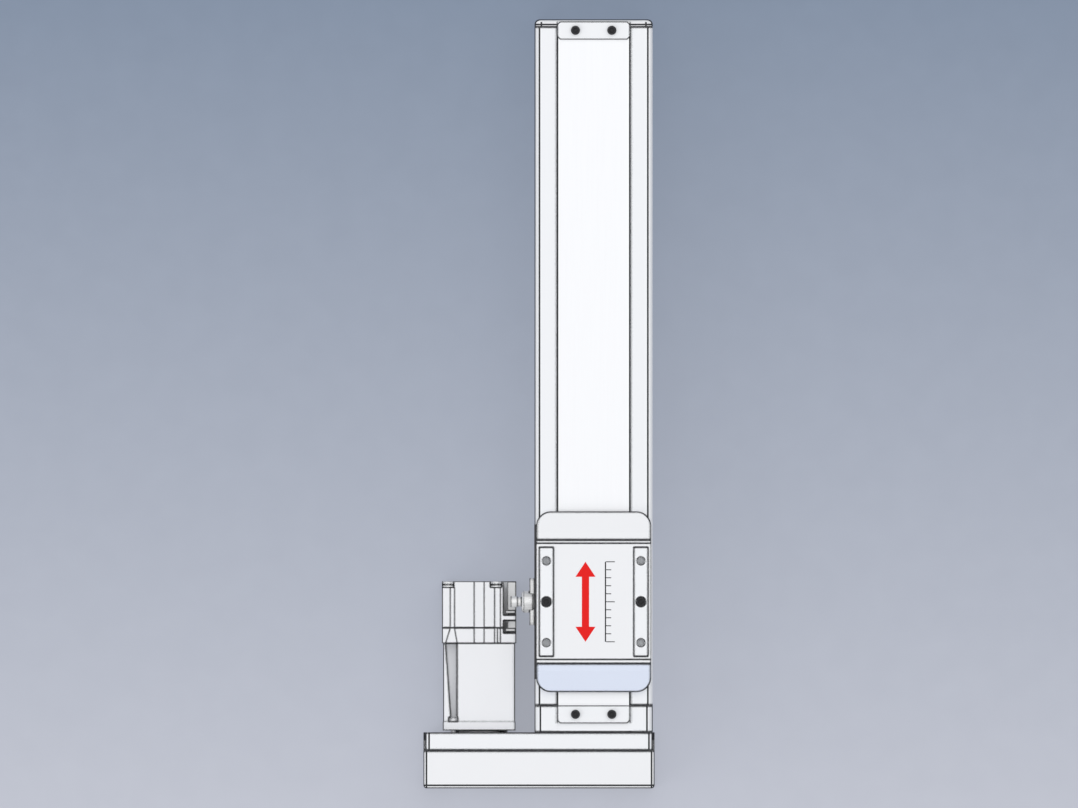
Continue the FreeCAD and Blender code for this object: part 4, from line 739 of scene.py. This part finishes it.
def islands(name):
    """The separate solids of a CAD node, each as its lowest and highest corner."""
    work = bmesh.new()
    work.from_mesh(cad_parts[name].data)
    bmesh.ops.remove_doubles(work, verts=work.verts, dist=1e-6)
    left = set(work.verts)
    found = []
    while left:
        stack = [left.pop()]
        members = list(stack)
        while stack:
            vertex = stack.pop()
            for edge in vertex.link_edges:
                other = edge.other_vert(vertex)
                if other in left:
                    left.remove(other)
                    stack.append(other)
                    members.append(other)
        corners = [vertex.co for vertex in members]
        found.append([Vector([pick(corner[axis] for corner in corners) for axis in range(3)])
                      for pick in (min, max)])
    work.free()
    return sorted(found, key=lambda pair: tuple(pair[0]))


def ring_points(radius, height, count):
    """A ring of points about the Z axis."""
    return [(math.cos(2 * math.pi * step / count) * radius, math.sin(2 * math.pi * step / count) * radius,
             height) for step in range(count)]


def socket_screw(head, head_long, shank, reach, washer):
    """Points and faces of a cap screw that stands on its face at the origin, its head upwards."""
    count = 48
    sides = 6
    bevel = head * 0.12
    under_head = head * 0.985
    under_bevel = head * 0.05
    tip = shank * 0.86
    tip_bevel = shank * 0.2
    socket = head * 0.5
    socket_deep = head * 0.9
    mouth = socket * 1.22
    throat = socket * 1.04
    # Each place of the profile is a radius and a height, from the shank's tip to the socket's rim
    profile = [(tip, -reach), (shank, tip_bevel - reach), (shank, 0)]
    head_start = 0
    lowest = -reach
    if washer:
        slit = 0.5 * MM
        web = 0.3 * MM
        head_start = washer + slit
        lowest = head_start + web
        profile += [(head, 0), (head, washer), (shank, washer), (shank, head_start)]
    profile += [(under_head, head_start), (head, head_start + under_bevel), (head, head_long - bevel),
                (head - bevel * 0.35, head_long - bevel * 0.3), (head - bevel, head_long),
                (mouth, head_long), (throat, head_long - bevel * 0.8)]
    points = []
    for radius, height in profile:
        points += ring_points(radius, height, count)
    faces = [tuple(range(count)), *ring_faces(len(profile), count)]
    rim = len(points) - count
    top = len(points)
    base = top + sides
    points += ring_points(socket, head_long - bevel * 1.2, sides)
    points += ring_points(socket, max(head_long - socket_deep, lowest), sides)
    share = count // sides
    for side in range(sides):
        arc = [rim + (side * share + step) % count for step in range(share + 1)]
        after = (side + 1) % sides
        faces.append((*arc, top + after, top + side))
        faces.append((top + side, top + after, base + after, base + side))
    faces.append(tuple(range(base, base + sides)))
    return points, faces


def screw_mesh(node, screws):
    """All the cap screws of a node, each where its solid lies."""
    axis = "XYZ".index(screws.axis)
    width_axis = (axis + 2) % 3
    direction = Vector([screws.way if number == axis else 0 for number in range(3)])
    turn = Vector((0, 0, 1)).rotation_difference(direction).to_matrix()
    head_long = screws.head_long * MM
    forms = []
    for low, high in islands(node):
        size = high - low
        head = screws.head * MM
        shank = screws.shank * MM
        if size[width_axis] < head * 1.9:
            # This one is a size smaller than the node's others
            head = size[width_axis] / 2
            shank *= 0.75
        seat = (low + high) / 2
        seat[axis] = high[axis] - head_long if screws.way > 0 else low[axis] + head_long
        points, faces = socket_screw(head, head_long, shank, size[axis] - head_long, screws.washer * MM)
        forms.append(([turn @ Vector(point) + seat for point in points], faces))
    return mesh_from(f"{node}_mesh", *joined(forms))


class LINEARAXIS_OT_cap_screws(bpy.types.Operator):
    """Make the cap screws with their hexagon sockets"""

    bl_idname = "linear_axis.cap_screws"
    bl_label = "Cap screws"

    def execute(self, context):
        for slot, group in (("black_screw", BLACK_SCREWS), ("plated_screw", PLATED_SCREWS)):
            for node, screws in group.items():
                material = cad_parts[node].data.materials[0]
                new_piece(f"{node}_socket", screw_mesh(node, screws), material, screws.body, slot, node)
        return {"FINISHED"}


class LINEARAXIS_OT_travel_mark(bpy.types.Operator):
    """Print the travel arrow and its scale on the slider's cover"""

    bl_idname = "linear_axis.travel_mark"
    bl_label = "Travel mark"

    def execute(self, context):
        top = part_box("table_cover")[1].z
        ink = sizes().ink_thickness
        reach = sizes().mark_length / 2
        wide = sizes().mark_width / 2
        stem = wide * 0.36
        head = wide * 1.5
        arrow_x = -4.5 * MM
        upper = [(stem, 0), (stem, reach - head), (wide, reach - head), (0, reach),
                 (-wide, reach - head), (-stem, reach - head), (-stem, 0)]
        lower = [(across, -along) for across, along in reversed(upper[1:-1])]
        outline = [(arrow_x + across, slider_middle + along) for across, along in upper + lower]
        new_piece("travel_arrow", mesh_from("arrow", *plate(outline, top, ink)),
                  printed("print_red", colours().print_red), "slider", "white_plastic")

        scale_x = 6.5 * MM
        half_line = 0.32 * MM
        half_tick = 0.22 * MM
        long_tick = 2.4 * MM
        short_tick = 1.4 * MM
        group = 5
        bars = [bar(scale_x, slider_middle, half_line, reach)]
        for number in range(sizes().mark_ticks + 1):
            along = slider_middle - reach + 2 * reach * number / sizes().mark_ticks
            half_long = short_tick if number % group else long_tick
            bars.append(bar(scale_x + half_line + half_long, along, half_long, half_tick))
        scale = mesh_from("scale", *joined([plate(outline, top, ink) for outline in bars]))
        new_piece("travel_scale", scale, printed("print_black", colours().black), "slider",
                  "white_plastic")
        return {"FINISHED"}


def make_floor():
    """The floor, which shades from near to far, and takes the object's shadow."""
    half_wide = 6.0
    shade_near = -0.24
    shade_far = 0.21
    share_plain = 0.6
    mesh = mesh_from("floor", [(x, y, 0) for x, y in bar(0, 0, half_wide, half_wide)], [(0, 1, 2, 3)])
    finish = Finish("floor")
    along = finish.axes()[1]
    tone = finish.mix(finish.ramp(along, shade_near, shade_far), colours().floor_near,
                      colours().floor_far)
    lit = finish.node("ShaderNodeBsdfDiffuse", None,
                      {"Color": tone, "Roughness": finish.noise(60, detail=4)})
    plain = finish.node("ShaderNodeEmission", None, {"Color": tone, "Strength": 1.0})
    seen = [finish.node("ShaderNodeLightPath", output=ray)
            for ray in ("Is Camera Ray", "Is Glossy Ray", "Is Transmission Ray")]
    share = (seen[0] | seen[1] | seen[2]) * share_plain
    finish.close(finish.node("ShaderNodeMixShader", None, {0: share, 1: lit, 2: plain}))
    mesh.materials.append(finish.owner)
    floor = bpy.data.objects.new("floor", mesh)
    bpy.context.scene.collection.objects.link(floor)


def make_world():
    """Soft light from all round; the camera sees the floor's colour where the floor ends."""
    sky_strength = 0.68
    seen_strength = 0.94
    finish = Finish("studio", bpy.data.worlds.new("studio"))
    along = finish.axes()[1]
    tone = finish.mix(finish.ramp(along, 1, -1), colours().floor_near, colours().floor_far)
    below = finish.node("ShaderNodeBackground", None, {"Color": tone, "Strength": seen_strength})
    sky = finish.node("ShaderNodeBackground", None,
                      {"Color": (*colours().sky, 1), "Strength": sky_strength})
    shown = finish.node("ShaderNodeLightPath", output="Is Camera Ray")
    mixed = finish.node("ShaderNodeMixShader", None, {0: shown, 1: sky, 2: below})
    bpy.context.scene.world = finish.close(mixed, "ShaderNodeOutputWorld")


def make_lamp(name, place, width, watts):
    """A round soft lamp that points at the object."""
    data = bpy.data.lights.new(name, "AREA")
    data.shape = "DISK"
    data.size = width
    data.energy = watts
    lamp = bpy.data.objects.new(name, data)
    lamp.location = place
    lamp.rotation_mode = "QUATERNION"
    lamp.rotation_quaternion = (-Vector(place)).to_track_quat("-Z", "Y")
    bpy.context.scene.collection.objects.link(lamp)


def make_camera():
    """The camera straight above, without perspective, at the photograph's scale and place."""
    data = bpy.data.cameras.new("camera")
    data.type = "ORTHO"
    data.ortho_scale = PHOTO_WIDTH * METRES_PER_PIXEL
    camera = bpy.data.objects.new("camera", data)
    camera.location = ((PHOTO_CENTRE[0] - ORIGIN_IN_PHOTO[0]) * METRES_PER_PIXEL,
                       (ORIGIN_IN_PHOTO[1] - PHOTO_CENTRE[1]) * METRES_PER_PIXEL, 1.0)
    bpy.context.scene.collection.objects.link(camera)
    bpy.context.scene.camera = camera


class LINEARAXIS_OT_stage(bpy.types.Operator):
    """Make the floor, the light and the camera"""

    bl_idname = "linear_axis.stage"
    bl_label = "Stage"

    def execute(self, context):
        make_floor()
        make_world()
        make_lamp("light_over", place=(0.25, 0.45, 1.9), width=2.6, watts=13.5)
        make_lamp("light_side", place=(-1.5, -0.9, 1.3), width=1.2, watts=7.0)
        make_camera()
        context.scene.view_settings.view_transform = "Standard"
        return {"FINISHED"}


OPERATORS = (
    LINEARAXIS_OT_finishes,
    LINEARAXIS_OT_cover_band,
    LINEARAXIS_OT_ball_screw,
    LINEARAXIS_OT_cap_screws,
    LINEARAXIS_OT_travel_mark,
    LINEARAXIS_OT_stage,
)


class LINEARAXIS_PT_panel(bpy.types.Panel):
    """Lists the steps, sizes and colours of the linear axis"""

    bl_label = "Linear axis"
    bl_idname = "LINEARAXIS_PT_panel"
    bl_space_type = "VIEW_3D"
    bl_region_type = "UI"
    bl_category = "Linear axis"

    def draw(self, context):
        column = self.layout.column()
        for operator in OPERATORS:
            column.operator(operator.bl_idname)
        for group in (context.scene.linear_axis_sizes, context.scene.linear_axis_colours):
            for name in group.__annotations__:
                column.prop(group, name)


CLASSES = (LinearAxisSizes, LinearAxisColours, *OPERATORS, LINEARAXIS_PT_panel)


def register():
    for item in CLASSES:
        bpy.utils.register_class(item)
    bpy.types.Scene.linear_axis_sizes = PointerProperty(type=LinearAxisSizes)
    bpy.types.Scene.linear_axis_colours = PointerProperty(type=LinearAxisColours)


def unregister():
    del bpy.types.Scene.linear_axis_colours
    del bpy.types.Scene.linear_axis_sizes
    for item in reversed(CLASSES):
        bpy.utils.unregister_class(item)


def main():
    register()
    for operator in OPERATORS:
        family, name = operator.bl_idname.split(".")
        getattr(getattr(bpy.ops, family), name)()


if __name__ == "__main__":
    main()
